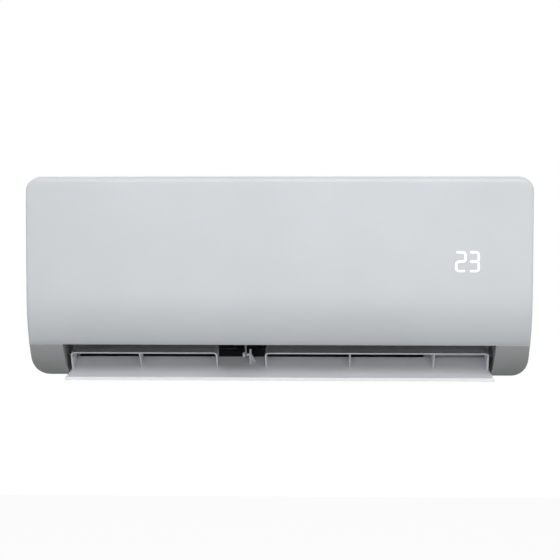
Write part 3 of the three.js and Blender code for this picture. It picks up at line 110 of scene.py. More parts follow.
def fromScreen(hexColour):
    parts = [int(hexColour[i : i + 2], 16) / 255 for i in (1, 3, 5)]
    linear = [p / 12.92 if p <= 0.04045 else ((p + 0.055) / 1.055) ** 2.4 for p in parts]
    return (*linear, 1)


# Points all round a circle.
def ringPoints(centre, radius, count):
    return arcPoints(centre, radius, 0, 360 - 360 / count, count - 1)


# An output of a node, so that sums of outputs can be written as sums.
class Signal:
    def __init__(self, recipe, socket):
        self.recipe = recipe
        self.socket = socket

    # Another output of the same node.
    def beside(self, name):
        return Signal(self.recipe, self.socket.node.outputs[name])

    def maths(self, operation, other):
        return self.recipe.add("ShaderNodeMath", {"operation": operation}, {0: self, 1: other})

    def __add__(self, other):
        return self.maths("ADD", other)

    def __sub__(self, other):
        return self.maths("SUBTRACT", other)

    def __mul__(self, other):
        return self.maths("MULTIPLY", other)

    __rmul__ = __mul__


# A tree of nodes. Inputs and outputs are found by their name or number.
class Recipe:
    def __init__(self, tree):
        self.tree = tree
        tree.nodes.clear()

    def add(self, kind, settings=None, inputs=None, output=0):
        node = self.tree.nodes.new(kind)
        for key, value in (settings or {}).items():
            setattr(node, key, value)
        for key, value in (inputs or {}).items():
            self.feed(node.inputs[key], value)
        return Signal(self, node.outputs[output]) if node.outputs else None

    def feed(self, socket, value):
        if isinstance(value, Signal):
            self.tree.links.new(value.socket, socket)
        else:
            socket.default_value = value


# The node tree of a material, with what several materials need.
class Finish(Recipe):
    def __init__(self, name):
        self.material = bpy.data.materials.new(name)
        self.material.use_nodes = True
        super().__init__(self.material.node_tree)
        self.place = self.add("ShaderNodeTexCoord", output="Object")

    def noise(self, scale, detail=2, stretch=None):
        where = self.place
        if stretch:
            where = self.add("ShaderNodeMapping", {}, {"Vector": where, "Scale": stretch})
        return self.add("ShaderNodeTexNoise", {}, {"Vector": where, "Scale": scale, "Detail": detail})

    # Black below the first level of the factor and white above the second.
    def steep(self, factor, low, high):
        ramp = self.add("ShaderNodeValToRGB", {}, {"Fac": factor})
        for element, position in zip(ramp.socket.node.color_ramp.elements, (low, high)):
            element.position = position
        return ramp

    def blend(self, factor, first, second):
        settings = {"data_type": "RGBA", "clamp_factor": True}
        return self.add("ShaderNodeMix", settings, {0: factor, 6: first, 7: second}, 2)

    def bump(self, height, distance, strength=1, normal=None):
        inputs = {"Height": height, "Distance": distance, "Strength": strength}
        if normal:
            inputs["Normal"] = normal
        return self.add("ShaderNodeBump", {}, inputs)

    def coat(self, shader):
        self.add("ShaderNodeOutputMaterial", {}, {"Surface": shader})
        return self.material

    def close(self, inputs):
        return self.coat(self.add("ShaderNodeBsdfPrincipled", {}, inputs))


def dimmed(colour, share):
    return tuple(part * share for part in colour[:3]) + (1,)


# A moulded plastic: faint mottling, a fine texture in the mould and a little uneven
# gloss. The scales are per metre and the depths in metres, here and below.
moulding = {
    "dimmest": 0.955,
    "mottle": (7, 4),
    "mottled": (0.35, 0.68),
    "smear": (16, 3, (1, 1, 2.5)),
    "smearGloss": 0.12,
    "texture": (1500, 2),
    "pores": (520, 1),
    "textureDepth": 0.00006,
    "flow": (38, 2),
    "flowDepth": 0.0001,
    "flowStrength": 0.25,
}


def plastic(name, hexColour, rough=0.42, grain=0.5):
    finish = Finish(name)
    base = fromScreen(hexColour)
    mottle = finish.steep(finish.noise(*moulding["mottle"]), *moulding["mottled"])
    smear = finish.noise(*moulding["smear"])
    texture = finish.noise(*moulding["texture"]) + 0.5 * finish.noise(*moulding["pores"])
    flow = finish.noise(*moulding["flow"])
    wavy = finish.bump(flow, moulding["flowDepth"], moulding["flowStrength"])
    return finish.close({
        "Base Color": finish.blend(mottle, dimmed(base, moulding["dimmest"]), base),
        "Roughness": (smear - 0.5) * moulding["smearGloss"] + rough,
        "Normal": finish.bump(texture, moulding["textureDepth"], grain, wavy),
    })


# Rolled and plated metal, with fine lines along one way and dull patches.
rolling = {
    "dimmest": 0.8,
    "patches": (60, 4),
    "dull": (0.38, 0.62),
    "patchGloss": 0.25,
    "lines": (9, 3),
    "lineGloss": 0.12,
    "lineDepth": 0.00008,
}


def metal(name, hexColour, rough=0.35, stretch=(6, 240, 240)):
    finish = Finish(name)
    base = fromScreen(hexColour)
    lines = finish.noise(*rolling["lines"], stretch)
    patches = finish.noise(*rolling["patches"])
    dull = finish.steep(patches, *rolling["dull"])
    uneven = (patches - 0.5) * rolling["patchGloss"] + (lines - 0.5) * rolling["lineGloss"]
    return finish.close({
        "Base Color": finish.blend(dull, dimmed(base, rolling["dimmest"]), base),
        "Metallic": 1,
        "Roughness": uneven + rough,
        "Normal": finish.bump(lines, rolling["lineDepth"], 0.5),
    })


# Zinc-coated sheet, with the spangle that the coating sets in.
zinc = {
    "dark": "#9a9da0",
    "pale": "#bfc2c4",
    "spangle": 130,
    "scuff": (240, 4, (1, 1, 6)),
    "rough": 0.36,
    "unevenGloss": 0.2,
    "scuffDepth": 0.00003,
}


def galvanised(name):
    finish = Finish(name)
    inputs = {"Vector": finish.place, "Scale": zinc["spangle"]}
    spangle = finish.add("ShaderNodeTexVoronoi", {"feature": "F1"}, inputs, "Color")
    tone = finish.add("ShaderNodeSeparateColor", {}, {0: spangle})
    scuff = finish.noise(*zinc["scuff"])
    uneven = tone * zinc["unevenGloss"] + (scuff - 0.5) * zinc["unevenGloss"]
    return finish.close({
        "Base Color": finish.blend(tone, fromScreen(zinc["dark"]), fromScreen(zinc["pale"])),
        "Metallic": 0.9,
        "Roughness": uneven + zinc["rough"],
        "Normal": finish.bump(scuff, zinc["scuffDepth"], 0.5),
    })


# Rubber and foam: small cells with dust on them.
cells = {
    "dimmest": 0.6,
    "dust": (45, 4),
    "dusty": (0.4, 0.7),
    "dustGloss": 0.2,
    "strength": 0.6,
}


def soft(name, hexColour, scale, depth, rough=0.85):
    finish = Finish(name)
    base = fromScreen(hexColour)
    inputs = {"Vector": finish.place, "Scale": scale}
    walls = finish.add("ShaderNodeTexVoronoi", {"feature": "F1"}, inputs)
    dust = finish.noise(*cells["dust"])
    dusty = finish.steep(dust, *cells["dusty"])
    return finish.close({
        "Base Color": finish.blend(dusty, dimmed(base, cells["dimmest"]), base),
        "Roughness": (dust - 0.5) * cells["dustGloss"] + rough,
        "Normal": finish.bump(walls, depth, cells["strength"]),
    })


# Green lacquer over copper tracks.
board = {
    "lacquer": "#1f5a37",
    "track": "#3f8a58",
    "tracks": 190,
    "trackWidth": 0.05,
    "offset": 0.35,
    "wander": (90, 3),
    "wandering": (0.42, 0.5),
    "rough": 0.3,
    "trackGloss": 0.15,
    "trackDepth": 0.00005,
    "strength": 0.8,
}


def circuit(name):
    finish = Finish(name)
    inputs = {
        "Vector": finish.place,
        "Scale": board["tracks"],
        "Mortar Size": board["trackWidth"],
        "Color1": (0, 0, 0, 1),
        "Color2": (0.1, 0.1, 0.1, 1),
        "Mortar": (1, 1, 1, 1),
    }
    tracks = finish.add("ShaderNodeTexBrick", {"offset": board["offset"]}, inputs)
    mask = tracks * finish.steep(finish.noise(*board["wander"]), *board["wandering"])
    return finish.close({
        "Base Color": finish.blend(mask, fromScreen(board["lacquer"]), fromScreen(board["track"])),
        "Roughness": mask * board["trackGloss"] + board["rough"],
        "Normal": finish.bump(mask, board["trackDepth"], board["strength"]),
    })


# The lit display, with a faint haze in its glow.
display = {
    "cool": "#e9f3ff",
    "white": "#ffffff",
    "haze": (260, 2),
    "hazeGloss": 0.1,
    "hazeDepth": 0.00003,
    "rough": 0.3,
    "glow": 0.55,
}


def lit(name):
    finish = Finish(name)
    haze = finish.noise(*display["haze"])
    glow = finish.blend(haze, fromScreen(display["cool"]), fromScreen(display["white"]))
    return finish.close({
        "Base Color": glow,
        "Roughness": (haze - 0.5) * display["hazeGloss"] + display["rough"],
        "Emission Color": glow,
        "Emission Strength": display["glow"],
        "Normal": finish.bump(haze, display["hazeDepth"], 0.3),
    })


finishes = {
    "panel_white": plastic("panelWhite", "#d3d7db", 0.36, 0.25),
    "body_white": plastic("bodyWhite", "#d0d3d7", 0.45),
    # The flap's own white plastic, made lighter than the panel's to paint light onto the flap's shaded
    # inner face.
    "flap_white": plastic("flapWhite", "#e6e8eb", 0.42),
    "cap_grey": plastic("capGrey", "#a6a7a8", 0.5),
    # This dark grey is also the painted shade on the duct's floor sheets.
    "frame_dark": plastic("frameDark", "#3f4143", 0.55),
    "vane_dark": plastic("vaneDark", "#3d4042", 0.5),
    "fan_dark": plastic("fanDark", "#2c2e30", 0.5),
    "arm_grey": plastic("armGrey", "#8d9092", 0.5),
    "button_grey": plastic("buttonGrey", "#97999c", 0.45),
    "motor_grey": plastic("motorGrey", "#8e9193", 0.6, 0.8),
    "filter_net": plastic("filterNet", "#a9b7be", 0.6),
    "plate_zinc": galvanised("plateZinc"),
    "steel_bright": metal("steelBright", "#b9bcbe", 0.3),
    "fin_aluminium": metal("finAluminium", "#c6d3da", 0.4, (240, 240, 6)),
    "copper": metal("copper", "#c07f58", 0.32),
    "nut_brass": metal("nutBrass", "#c8a75e", 0.3),
    "seal_rubber": soft("sealRubber", "#2a2a2b", 900, 0.00008, 0.7),
    "pipe_foam": soft("pipeFoam", "#37383a", 650, 0.0003),
    "board_green": circuit("boardGreen"),
    "digit_glow": lit("digitGlow"),
}
print("finishes", len(finishes))


def added(name, data):
    item = bpy.data.objects.new(name, data)
    bpy.context.scene.collection.objects.link(item)
    return item


def claimed(piece, body, replaced):
    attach(piece, body)
    if replaced:
        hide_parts(*replaced)


def newPiece(name, vertices, faces, slotName, body, replaced=()):
    mesh = bpy.data.meshes.new(name)
    mesh.from_pydata([tuple(v) for v in vertices], [], faces)
    return dressed(name, mesh, slotName, body, replaced)


def dressed(name, mesh, slotName, body, replaced=()):
    piece = added(name, mesh)
    mesh.materials.clear()
    mesh.materials.append(finishes[slotName])
    claimed(piece, body, replaced)
    return piece


# Applies the modifiers of a piece to its mesh.
def settle(piece):
    bpy.context.view_layer.update()
    seen = piece.evaluated_get(bpy.context.evaluated_depsgraph_get())
    mesh = bpy.data.meshes.new_from_object(seen)
    piece.modifiers.clear()
    old = piece.data
    piece.data = mesh
    mesh.name = piece.name
    bpy.data.meshes.remove(old)
    return piece


# Merges a mesh's doubles and turns its faces outwards.
def straighten(mesh, merge=merging):
    work = bmesh.new()
    work.from_mesh(mesh)
    bmesh.ops.remove_doubles(work, verts=work.verts, dist=merge)
    bmesh.ops.recalc_face_normals(work, faces=work.faces)
    work.to_mesh(mesh)
    work.free()


# A solid between two outlines of as many points, given one after the other. Where an
# outline comes back beside itself, a strip of faces can fill it in place of one face.
def prism(name, vertices, strip=False):
    count = len(vertices) // 2
    faces = [(i, (i + 1) % count, count + (i + 1) % count, count + i) for i in range(count)]
    ends = [tuple(range(count))]
    if strip:
        ends = [(i, i + 1, count - 2 - i, count - 1 - i) for i in range(count // 2 - 1)]
    faces += ends + [tuple(count + i for i in end) for end in ends]
    mesh = bpy.data.meshes.new(name)
    mesh.from_pydata(vertices, [], faces)
    straighten(mesh)
    return mesh


# An outline in the unit's section, drawn out along x between two ends.
def extruded(name, outline, ends):
    return prism(name, [place(x, *point) for x in ends for point in outline])


# Gives a sheet its thickness: inwards from its face, or half to each side of it.
def thickened(piece, thickness, inwards=True):
    wall = piece.modifiers.new("wall", "SOLIDIFY")
    wall.thickness = thickness * mm
    wall.offset = -1 if inwards else 0
    wall.use_even_offset = inwards
    settle(piece)


# Adds a mesh to a piece, cuts it away, or keeps only what lies in it.
def combine(piece, mesh, operation):
    other = added(mesh.name, mesh)
    step = piece.modifiers.new("combine", "BOOLEAN")
    step.operation = operation
    step.solver = "EXACT"
    step.object = other
    settle(piece)
    bpy.data.objects.remove(other)
    bpy.data.meshes.remove(mesh)


def smoothed(mesh, degrees):
    mesh.shade_smooth()
    mesh.set_sharp_from_angle(angle=math.radians(degrees))


# Rounds the edges that are sharper than an angle, and smooths the faces between them.
def rounded(piece, width, segments, degrees, smoothDegrees=None):
    smoothed(piece.data, smoothDegrees or degrees)
    bevel = piece.modifiers.new("edges", "BEVEL")
    bevel.width = width * mm
    bevel.segments = segments
    bevel.limit_method = "ANGLE"
    bevel.angle_limit = math.radians(degrees)
    weights = piece.modifiers.new("flats", "WEIGHTED_NORMAL")
    weights.keep_sharp = True
    settle(piece)


refining = {"width": 0.4, "segments": 2, "degrees": 35, "flat": 0.6}


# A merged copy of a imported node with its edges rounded.
def refined(node):
    mesh = frame["nodes"][node].data.copy()
    work = bmesh.new()
    work.from_mesh(mesh)
    bmesh.ops.remove_doubles(work, verts=work.verts, dist=merging)
    flat = math.radians(refining["flat"])
    bmesh.ops.dissolve_limit(work, angle_limit=flat, verts=work.verts, edges=work.edges)
    work.to_mesh(mesh)
    work.free()
    for name in [a.name for a in mesh.attributes if a.name in ("custom_normal", "sharp_face")]:
        mesh.attributes.remove(mesh.attributes[name])
    parts = node.split("_")
    name = parts[0] + "".join(part.capitalize() for part in parts[1:])
    piece = dressed(name, mesh, nodeSlots[node], nodeBodies[node], [node])
    rounded(piece, refining["width"], refining["segments"], refining["degrees"])
    return piece


# A shell that is open at the back: rows from its foot to its head, each with the
# outline's place and normal, and a rounded edge between its side and its face. From
# headBack up it is closed at the back too. A row's points stay a little apart.
def trayMesh(name, rows, faceAt, steps, headBack):
    vertices = []
    faces = []
    apart = 0.02

    def edgePoints(row, side):
        points = [(row["x"], row["back"], row["z"])]
        for step in range(steps + 1):
            angle = math.pi / 2 * step / steps
            inset = row["radius"] * (1 - math.cos(angle))
            drop = row["radius"] * (1 - math.sin(angle))
            z = row["z"] - row["nz"] * inset
            face = row["u"] if row["u"] is not None else faceAt(z)
            u = max(face - drop, row["back"] + apart * step)
            points.append((row["x"] - row["nx"] * inset, u, z))
        start = len(vertices)
        vertices.extend(place(side * x, u, z) for x, u, z in points)
        return range(start, len(vertices))

    left, right = zip(*((edgePoints(row, -1), edgePoints(row, 1)) for row in rows))
    for index in range(len(rows) - 1):
        a, b, c, d = left[index], left[index + 1], right[index], right[index + 1]
        for ring in range(steps + 1):
            faces.append((a[ring], a[ring + 1], b[ring + 1], b[ring]))
            faces.append((c[ring + 1], c[ring], d[ring], d[ring + 1]))
        faces.append((a[-1], c[-1], d[-1], b[-1]))
        if rows[index]["z"] >= headBack - apart:
            faces.append((c[0], a[0], b[0], d[0]))
    for ring in range(steps + 1):
        faces.append((left[-1][ring], left[-1][ring + 1], right[-1][ring + 1], right[-1][ring]))
    mesh = bpy.data.meshes.new(name)
    mesh.from_pydata(vertices, [], faces)
    straighten(mesh, 2 * merging)
    return mesh


panel = {
    "back": 177,
    "hinge": (183, 138),
    "hingeRadius": 6,
    "lean": 3.4,
    "leanPower": 1.6,
    "leanHeight": 135,
    "bellyTop": -20,
    "bellyPull": -72,
    "foot": 179.5,
    "edgeRadius": 4.5,
    "topRadius": 9,
    "footRadius": 1.2,
    "footReturn": 0.6,
    "footEdges": (0.2, 0.4, 0.8, 1.4),
    "footFade": 12,
    "wall": 2.6,
    "faceAngle": 42,
    "edgeSteps": 7,
    "rimSteps": 4,
    "bellySteps": 16,
    "faceSteps": 9,
    "cornerSteps": 14,
    "stepApart": 0.03,
}


def panelFace(z):
    share = max(z, 0) / panel["leanHeight"]
    return unit["depth"] - panel["lean"] * share ** panel["leanPower"]


def panelBackAt(z):
    over = max(z - panel["hinge"][1], 0)
    return panel["hinge"][0] - math.sqrt(max(panel["hingeRadius"] ** 2 - over**2, 0))


# The panel's rows from its foot up: the bent foot, the belly, the leaning face, and
# round the top corners.
def panelRows():
    depth, seam, radius = unit["depth"], unit["seam"], unit["cornerRadius"]
    foot, edge = panel["foot"], panel["edgeRadius"]
    rows = []

    def side(z, u, rounding):
        rows.append({"x": halfWidthAt(z), "z": z, "nx": 1, "nz": 0, "u": u,
                     "back": panel["back"], "radius": rounding})

    first, second, third, last = panel["footEdges"]
    rim = panel["footRadius"]
    side(seam, panel["back"] + panel["footReturn"], first)
    side(seam, foot - rim, second)
    for step in range(1, panel["rimSteps"]):
        angle = math.pi / 2 * step / panel["rimSteps"]
        side(seam + rim * (1 - math.cos(angle)), foot - rim * (1 - math.sin(angle)), third)
    pull, top = (depth, panel["bellyPull"]), (depth, panel["bellyTop"])
    for u, z in bentLine((foot, seam), pull, top, panel["bellySteps"])[1:]:
        side(z, u, mixed(last, edge, min((z - seam) / panel["footFade"], 1)))
    cornerFoot = unit["top"] - radius
    for step in range(1, panel["faceSteps"]):
        side(mixed(panel["bellyTop"], cornerFoot, step / panel["faceSteps"]), None, edge)
    centre = halfWidthAt(cornerFoot) - radius
    hingeTurn = math.asin((panel["hinge"][1] - cornerFoot) / radius)
    turns = [math.pi / 2 * step / panel["cornerSteps"] for step in range(panel["cornerSteps"] + 1)]
    turns = [turn for turn in turns if abs(turn - hingeTurn) > panel["stepApart"]]
    for turn in sorted(turns + [hingeTurn]):
        z = cornerFoot + radius * math.sin(turn)
        share = 0.5 - 0.5 * math.cos(2 * turn)
        rows.append({"x": centre + radius * math.cos(turn), "z": z,
                     "nx": math.cos(turn), "nz": math.sin(turn), "u": None,
                     "back": panelBackAt(z), "radius": mixed(edge, panel["topRadius"], share)})
    return rows


def makePanel():
    mesh = trayMesh("frontPanel", panelRows(), panelFace, panel["edgeSteps"], panel["hinge"][1])
    piece = dressed("frontPanel", mesh, "panel_white", "panel", ["front_panel"])
    thickened(piece, panel["wall"])
    smoothed(piece.data, panel["faceAngle"])


makePanel()

# The two lit digits, each of strokes with rounded corners. They stand a hair proud of
# the panel that they shine through.
digits = {
    "foot": 7.9,
    "head": 37.3,
    "stroke": 2.9,
    "bend": 4.4,
    "proud": 0.05,
    "depth": 1.2,
    "bendSteps": 6,
    # The blunt end of a stroke, as shares of half its width and of its width.
    "tip": ((1, 0.1), (0.62, 0.22), (0.2, 0.28)),
    "shapes": {
        "display_digit_tens": {"left": 250, "right": 265.9, "strokes": ["two"]},
        "display_digit_units": {"left": 269.9, "right": 284.6, "strokes": ["three", "threeFoot"]},
    },
    # Corners as shares of the digit's width and height, from its lower left.
    "strokes": {
        "two": [(0.1, 1), (1, 1), (1, 0.5), (0, 0.5), (0, 0), (0.9, 0)],
        "three": [(0.06, 1), (1, 1), (1, 0.5), (0.02, 0.5)],
        "threeFoot": [(0.02, 0.5), (1, 0.5), (1, 0), (0.06, 0)],
    },
}


# A line of corners with a round of the given size at each.
def roundedLine(corners, bend, steps):
    line = [corners[0]]
    for before, here, after in zip(corners, corners[1:], corners[2:]):
        a = Vector(before) - Vector(here)
        b = Vector(after) - Vector(here)
        reach = min(bend, a.length / 2, b.length / 2)
        start = Vector(here) + a.normalized() * reach
        end = Vector(here) + b.normalized() * reach
        line += bentLine(tuple(start), here, tuple(end), steps)
    return line + [corners[-1]]


# The outline of a stroke of even width along a line, with blunt rounded ends.
def strokeOutline(line, width):
    left, right = [], []
    for index, here in enumerate(line):
        before = line[max(index - 1, 0)]
        after = line[min(index + 1, len(line) - 1)]
        along = (Vector(after) - Vector(before)).normalized()
        across = Vector((-along.y, along.x)) * width / 2
        if index in (0, len(line) - 1):
            out = along if index else -along
            for share, lift in digits["tip"]:
                left.append(Vector(here) + across * share + out * lift * width)
                right.append(Vector(here) - across * share + out * lift * width)
            if index == 0:
                left.reverse()
                right.reverse()
        else:
            left.append(Vector(here) + across)
            right.append(Vector(here) - across)
    return left + right[::-1]


def digitStroke(name, corners, shape):
    half = digits["stroke"] / 2
    wide = shape["right"] - shape["left"] - 2 * half
    high = digits["head"] - digits["foot"] - 2 * half
    line = roundedLine(
        [(shape["left"] + half + a * wide, digits["foot"] + half + b * high) for a, b in corners],
        digits["bend"],
        digits["bendSteps"],
    )
    outline = strokeOutline(line, digits["stroke"])
    face = panelFace(digits["foot"]) + digits["proud"]
    deep = digits["depth"]
    return prism(name, [place(x, face - drop, z) for drop in (deep, 0) for x, z in outline])


def makeDigits():
    for node, shape in digits["shapes"].items():
        name = "digit" + node.rsplit("_", 1)[1].capitalize()
        meshes = [digitStroke(name, digits["strokes"][stroke], shape) for stroke in shape["strokes"]]
        piece = dressed(name, meshes[0], "digit_glow", nodeBodies[node], [node])
        for mesh in meshes[1:]:
            combine(piece, mesh, "UNION")


makeDigits()
print("front panel")

# The lower cover with its two end caps, and a cheek inside each for the flap's pin.
lower = {
    "tip": (181.5, -97.3),
    "belly": (161, -140.5),
    "heel": (116, -144),
    "side": 358,
    "back": 0.5,
    "cornerWidth": 18,
    "cornerHeight": 26,
    "edgeRadius": 2,
    "mouthTop": 310.2,
    "mouthBottom": 308.7,
    "wall": 2.5,
    "rounding": 1.2,
    "noseSteps": 34,
    "noseAngle": 40,
    "floorSteps": 3,
    "sideSteps": 12,
    "edgeSteps": 6,
    "cheek": (311, 313.5),
    "cheekBack": 86,
    "cheekInset": 0.5,
    "pinAt": (130, -113.5),
    "pinHole": 3.85,
    "holeSides": 24,
}


def lowerSideAt(z):
    under = max(unit["bottom"] + lower["cornerHeight"] - z, 0) / lower["cornerHeight"]
    return lower["side"] - lower["cornerWidth"] * (1 - math.sqrt(max(1 - under**2, 0)))


# Across one cap, at the place on the nose line whose height is the foot: down the
# side, round the edge and in to the outlet.
def capRow(foot):
    top = lower["tip"][1]
    reach = min(lower["edgeRadius"], (top - foot) / 2)
    start = (lowerSideAt(foot + reach), foot + reach)
    corner = (lowerSideAt(foot), foot)
    finish = (lowerSideAt(foot) - reach, foot)
    row = []
    for step in range(lower["sideSteps"]):
        z = mixed(top, foot + reach, math.sin(math.pi / 2 * step / lower["sideSteps"]))
        row.append((lowerSideAt(z), z))
    row += bentLine(start, corner, finish, lower["edgeSteps"])
    inner = upToSeam(foot, lower["mouthBottom"], lower["mouthTop"])
    return row + [(mixed(finish[0], inner, 0.5), foot), (inner, foot)]


# The cover's section from its tip round the belly and back along its floor.
def coverLine():
    heelU, floor = lower["heel"]
    line = bentLine(lower["tip"], lower["belly"], lower["heel"], lower["noseSteps"])
    steps = lower["floorSteps"]
    return line + [(mixed(heelU, lower["back"], step / steps), floor) for step in range(1, steps + 1)]


def makeLowerCover():
    line = coverLine()
    vertices = []
    for u, z in line:
        row = capRow(z)
        for side in (-1, 1):
            vertices += [place(side * x, u, height) for x, height in row]
    width = len(row)
    faces = []
    for index in range(len(line) - 1):
        for side in (0, 1):
            for step in range(width - 1):
                a = (2 * index + side) * width + step
                face = (a, a + 1, a + 2 * width + 1, a + 2 * width)
                faces.append(face if side else face[::-1])
        if line[index][1] == lower["heel"][1]:
            a, b = (2 * index + 1) * width - 1, (2 * index + 2) * width - 1
            faces.append((a, b, b + 2 * width, a + 2 * width))
    cover = newPiece("lowerCover", vertices, faces, "cap_grey", "housing", ["lower_cover"])
    straighten(cover.data, 2 * merging)
    thickened(cover, lower["wall"])
    rounded(cover, lower["rounding"], 3, sheetAngle, lower["noseAngle"])


# The cheeks fill the cover's section behind its wall.
def makeCheeks():
    back, inset, edge = lower["cheekBack"], lower["cheekInset"], lower["wall"] / 2
    tip, floor = lower["tip"][1], lower["heel"][1] + edge
    line = [(u, z) for u, z in coverLine()[1:] if u > back]
    outline = [(back, tip), (line[0][0] - edge, tip)]
    outline += [(u - inset, z + edge) for u, z in line] + [(back, floor)]
    hole = ringPoints(lower["pinAt"], lower["pinHole"], lower["holeSides"])
    for side, name in ((-1, "cheekLeft"), (1, "cheekRight")):
        ends = sorted(side * x for x in lower["cheek"])
        cheek = dressed(name, extruded(name, outline, ends), "cap_grey", "housing")
        combine(cheek, extruded("hole", hole, (ends[0] - 1, ends[1] + 1)), "DIFFERENCE")
        smoothed(cheek.data, sharpAngle)


# Dark sheets on the floor of the air duct, which paint the shade inside the outlet, with holes for the
# pins of the vanes.
duct = {
    "fan": (86, -30),
    "scrollStart": (51, 130),
    "scrollEnd": (80, 255),
    "liningFrom": 200,
    "liningSteps": 20,
    "lip": (111.9, -137.6),
    "lift": 0.25,
    "thickness": 0.5,
    "across": (-301.6, 214.6),
    "floorAcross": (-309.6, 309.6),
    "vaneTurn": 250,
    "vaneCount": 5,
    "vanes": {"left": (-282, -68.5), "right": (-26, 195)},
    "pinHole": 1.7,
    "holeSides": 12,
    "holeReach": (-2, 3),
}


def scrollPoint(degrees):
    (startRadius, startTurn), (endRadius, endTurn) = duct["scrollStart"], duct["scrollEnd"]
    radius = mixed(startRadius, endRadius, (degrees - startTurn) / (endTurn - startTurn))
    return arcPoints(duct["fan"], radius, degrees, degrees, 1)[0]


def offsetLine(line, height):
    lifted = []
    for index, (u, z) in enumerate(line):
        before, after = line[max(index - 1, 0)], line[min(index + 1, len(line) - 1)]
        a, b = unitVector(after[0] - before[0], after[1] - before[1])
        lifted.append((u - b * height, z + a * height))
    return lifted


# Holes through the sheet of painted shade, square to the scroll, where the vanes' pins stand.
def cutPinHoles(shadeSheet):
    turn = duct["vaneTurn"]
    rootU, rootZ = scrollPoint(turn)
    before, after = scrollPoint(turn - 2), scrollPoint(turn + 2)
    a, b = unitVector(after[0] - before[0], after[1] - before[1])
    ring = ringPoints((0, 0), duct["pinHole"], duct["holeSides"])
    for start, end in duct["vanes"].values():
        for index in range(duct["vaneCount"]):
            x = mixed(start, end, index / (duct["vaneCount"] - 1))
            corners = [
                place(x + across, rootU - b * up + a * along, rootZ + a * up + b * along)
                for up in duct["holeReach"]
                for across, along in ring
            ]
            combine(shadeSheet, prism("hole", corners), "DIFFERENCE")


def makeShadeSheets():
    steps, low, high = duct["liningSteps"], duct["lift"], duct["lift"] + duct["thickness"]
    start, end = duct["liningFrom"], duct["scrollEnd"][1]
    scroll = [scrollPoint(mixed(start, end, step / steps)) for step in range(steps + 1)]
    for name, line, ends in (
        ("ductLining", scroll, duct["across"]),
        ("ductSill", [scroll[-1], duct["lip"]], duct["floorAcross"]),
    ):
        outline = offsetLine(line, low) + offsetLine(line, high)[::-1]
        # The dark finish paints the shade inside the outlet.
        shadeSheet = dressed(name, extruded(name, outline, ends), "frame_dark", "housing")
        if line is scroll:
            cutPinHoles(shadeSheet)
        smoothed(shadeSheet.data, sharpAngle)


# The flap and its guide blades are drawn closed, in the section of the unit, and then
# turned open about the flap's axis.
flap = {
    "axis": (130, -113.5),
    "opening": 58.5,
    "nose": (181, -98),
    "belly": (150, -134),
    "heel": (120, -142),
    "thickness": 3.2,
    "lip": 6,
    "rounding": 1.1,
    "skinSteps": 28,
    "noseHalf": 309.4,
    "heelHalf": 306.1,
    "bladeFront": (139.3, -92.2),
    "bladeRear": (108.7, -121.5),
    "bladeThickness": 2.2,
    "bladeRounding": 0.6,
    "bladeSteps": 10,
    "ribThickness": 1.6,
    "ribRounding": 0.4,
    "bladeBow": 3,
    "bendRadius": 5,
    "bendSteps": 6,
    "sideSteps": 4,
    "bladeLeft": (-303.3, -91.4),
    "bladeRight": (-19.6, 303.3),
    "ribsLeft": (0.47,),
    "ribsRight": (0.38, 0.76),
    "outerFoot": 5 / 12,
    "innerFoot": 7 / 12,
    "rearFoot": 11 / 12,
    "footSteps": 60,
    "footGap": 0.3,
    "pinRadius": 2.35,
    "pinSides": 24,
    # Where lugs and fin stand on the skin, as steps of a dozen from its nose.
    "rootSteps": 12,
    "lugRoots": (11, 6),
    "lugAt": 306.1,
    "lugWidth": 2.5,
    "lugRadius": 5,
    "lugSteps": 14,
    "lugRounding": 0.35,
    "fin": -45.2,
    "finWidth": 3.8,
    "finRoots": (11, 9),
    "finTop": ((133.2, -110.2), (123.8, -107.4), (121.9, -111.5)),
    "finHead": 12,
    "finTaper": 1.4,
    "gusset": 7,
    "gussetRoots": (11, 10),
    "gussetTop": ((129, -114.5), (124, -110.5)),
    "gussetHead": 3,
    "reach": 40,
    "finRounding": 0.3,
}


def turnedOpen(x, u, z):
    angle = math.radians(flap["opening"])
    du, dz = u - flap["axis"][0], z - flap["axis"][1]
    openU = du * math.cos(angle) + dz * math.sin(angle)
    openZ = dz * math.cos(angle) - du * math.sin(angle)
    return place(x, flap["axis"][0] + openU, flap["axis"][1] + openZ)


def flapSkin(count, height=0):
    return offsetLine(bentLine(flap["nose"], flap["belly"], flap["heel"], count), -height)


def makeFlap():
    under = flapSkin(flap["skinSteps"])
    over = flapSkin(flap["skinSteps"], flap["thickness"])
    noseU, noseZ = flap["nose"]
    section = under + over[2:][::-1] + [(noseU - flap["lip"], noseZ)]
    ends = (flap["heelHalf"], flap["noseHalf"])
    corners = [turnedOpen(side * upToSeam(z, *ends), u, z) for side in (-1, 1) for u, z in section]
    piece = dressed("flapPlate", prism("flapPlate", corners), "flap_white", "flap", ["main_flap"])
    rounded(piece, flap["rounding"], 3, sharpAngle)


# A solid drawn along x: its outline in the closed section, then turned open.
def acrossFlap(name, outline, ends, strip=False):
    return prism(name, [turnedOpen(x, u, z) for x in ends for u, z in outline], strip)


def bored(piece, ends):
    hole = ringPoints(flap["axis"], flap["pinRadius"], flap["pinSides"])
    combine(piece, acrossFlap("pinHole", hole, (ends[0] - 1, ends[1] + 1)), "DIFFERENCE")


# Places in the middle of the flap's wall, for what stands on it.
def rootsOnSkin(steps):
    middle = flapSkin(flap["rootSteps"], flap["thickness"] / 2)
    return [middle[step] for step in steps]


def makeLugs():
    rounding = arcPoints(flap["axis"], flap["lugRadius"], 0, 180, flap["lugSteps"])
    outline = rootsOnSkin(flap["lugRoots"]) + rounding
    for side, name in ((-1, "flapLugLeft"), (1, "flapLugRight")):
        outer = side * flap["lugAt"]
        ends = sorted((outer, outer - side * flap["lugWidth"]))
        lug = dressed(name, acrossFlap(name, outline, ends), "flap_white", "flap")
        bored(lug, ends)
        rounded(lug, flap["lugRounding"], 2, sharpAngle)


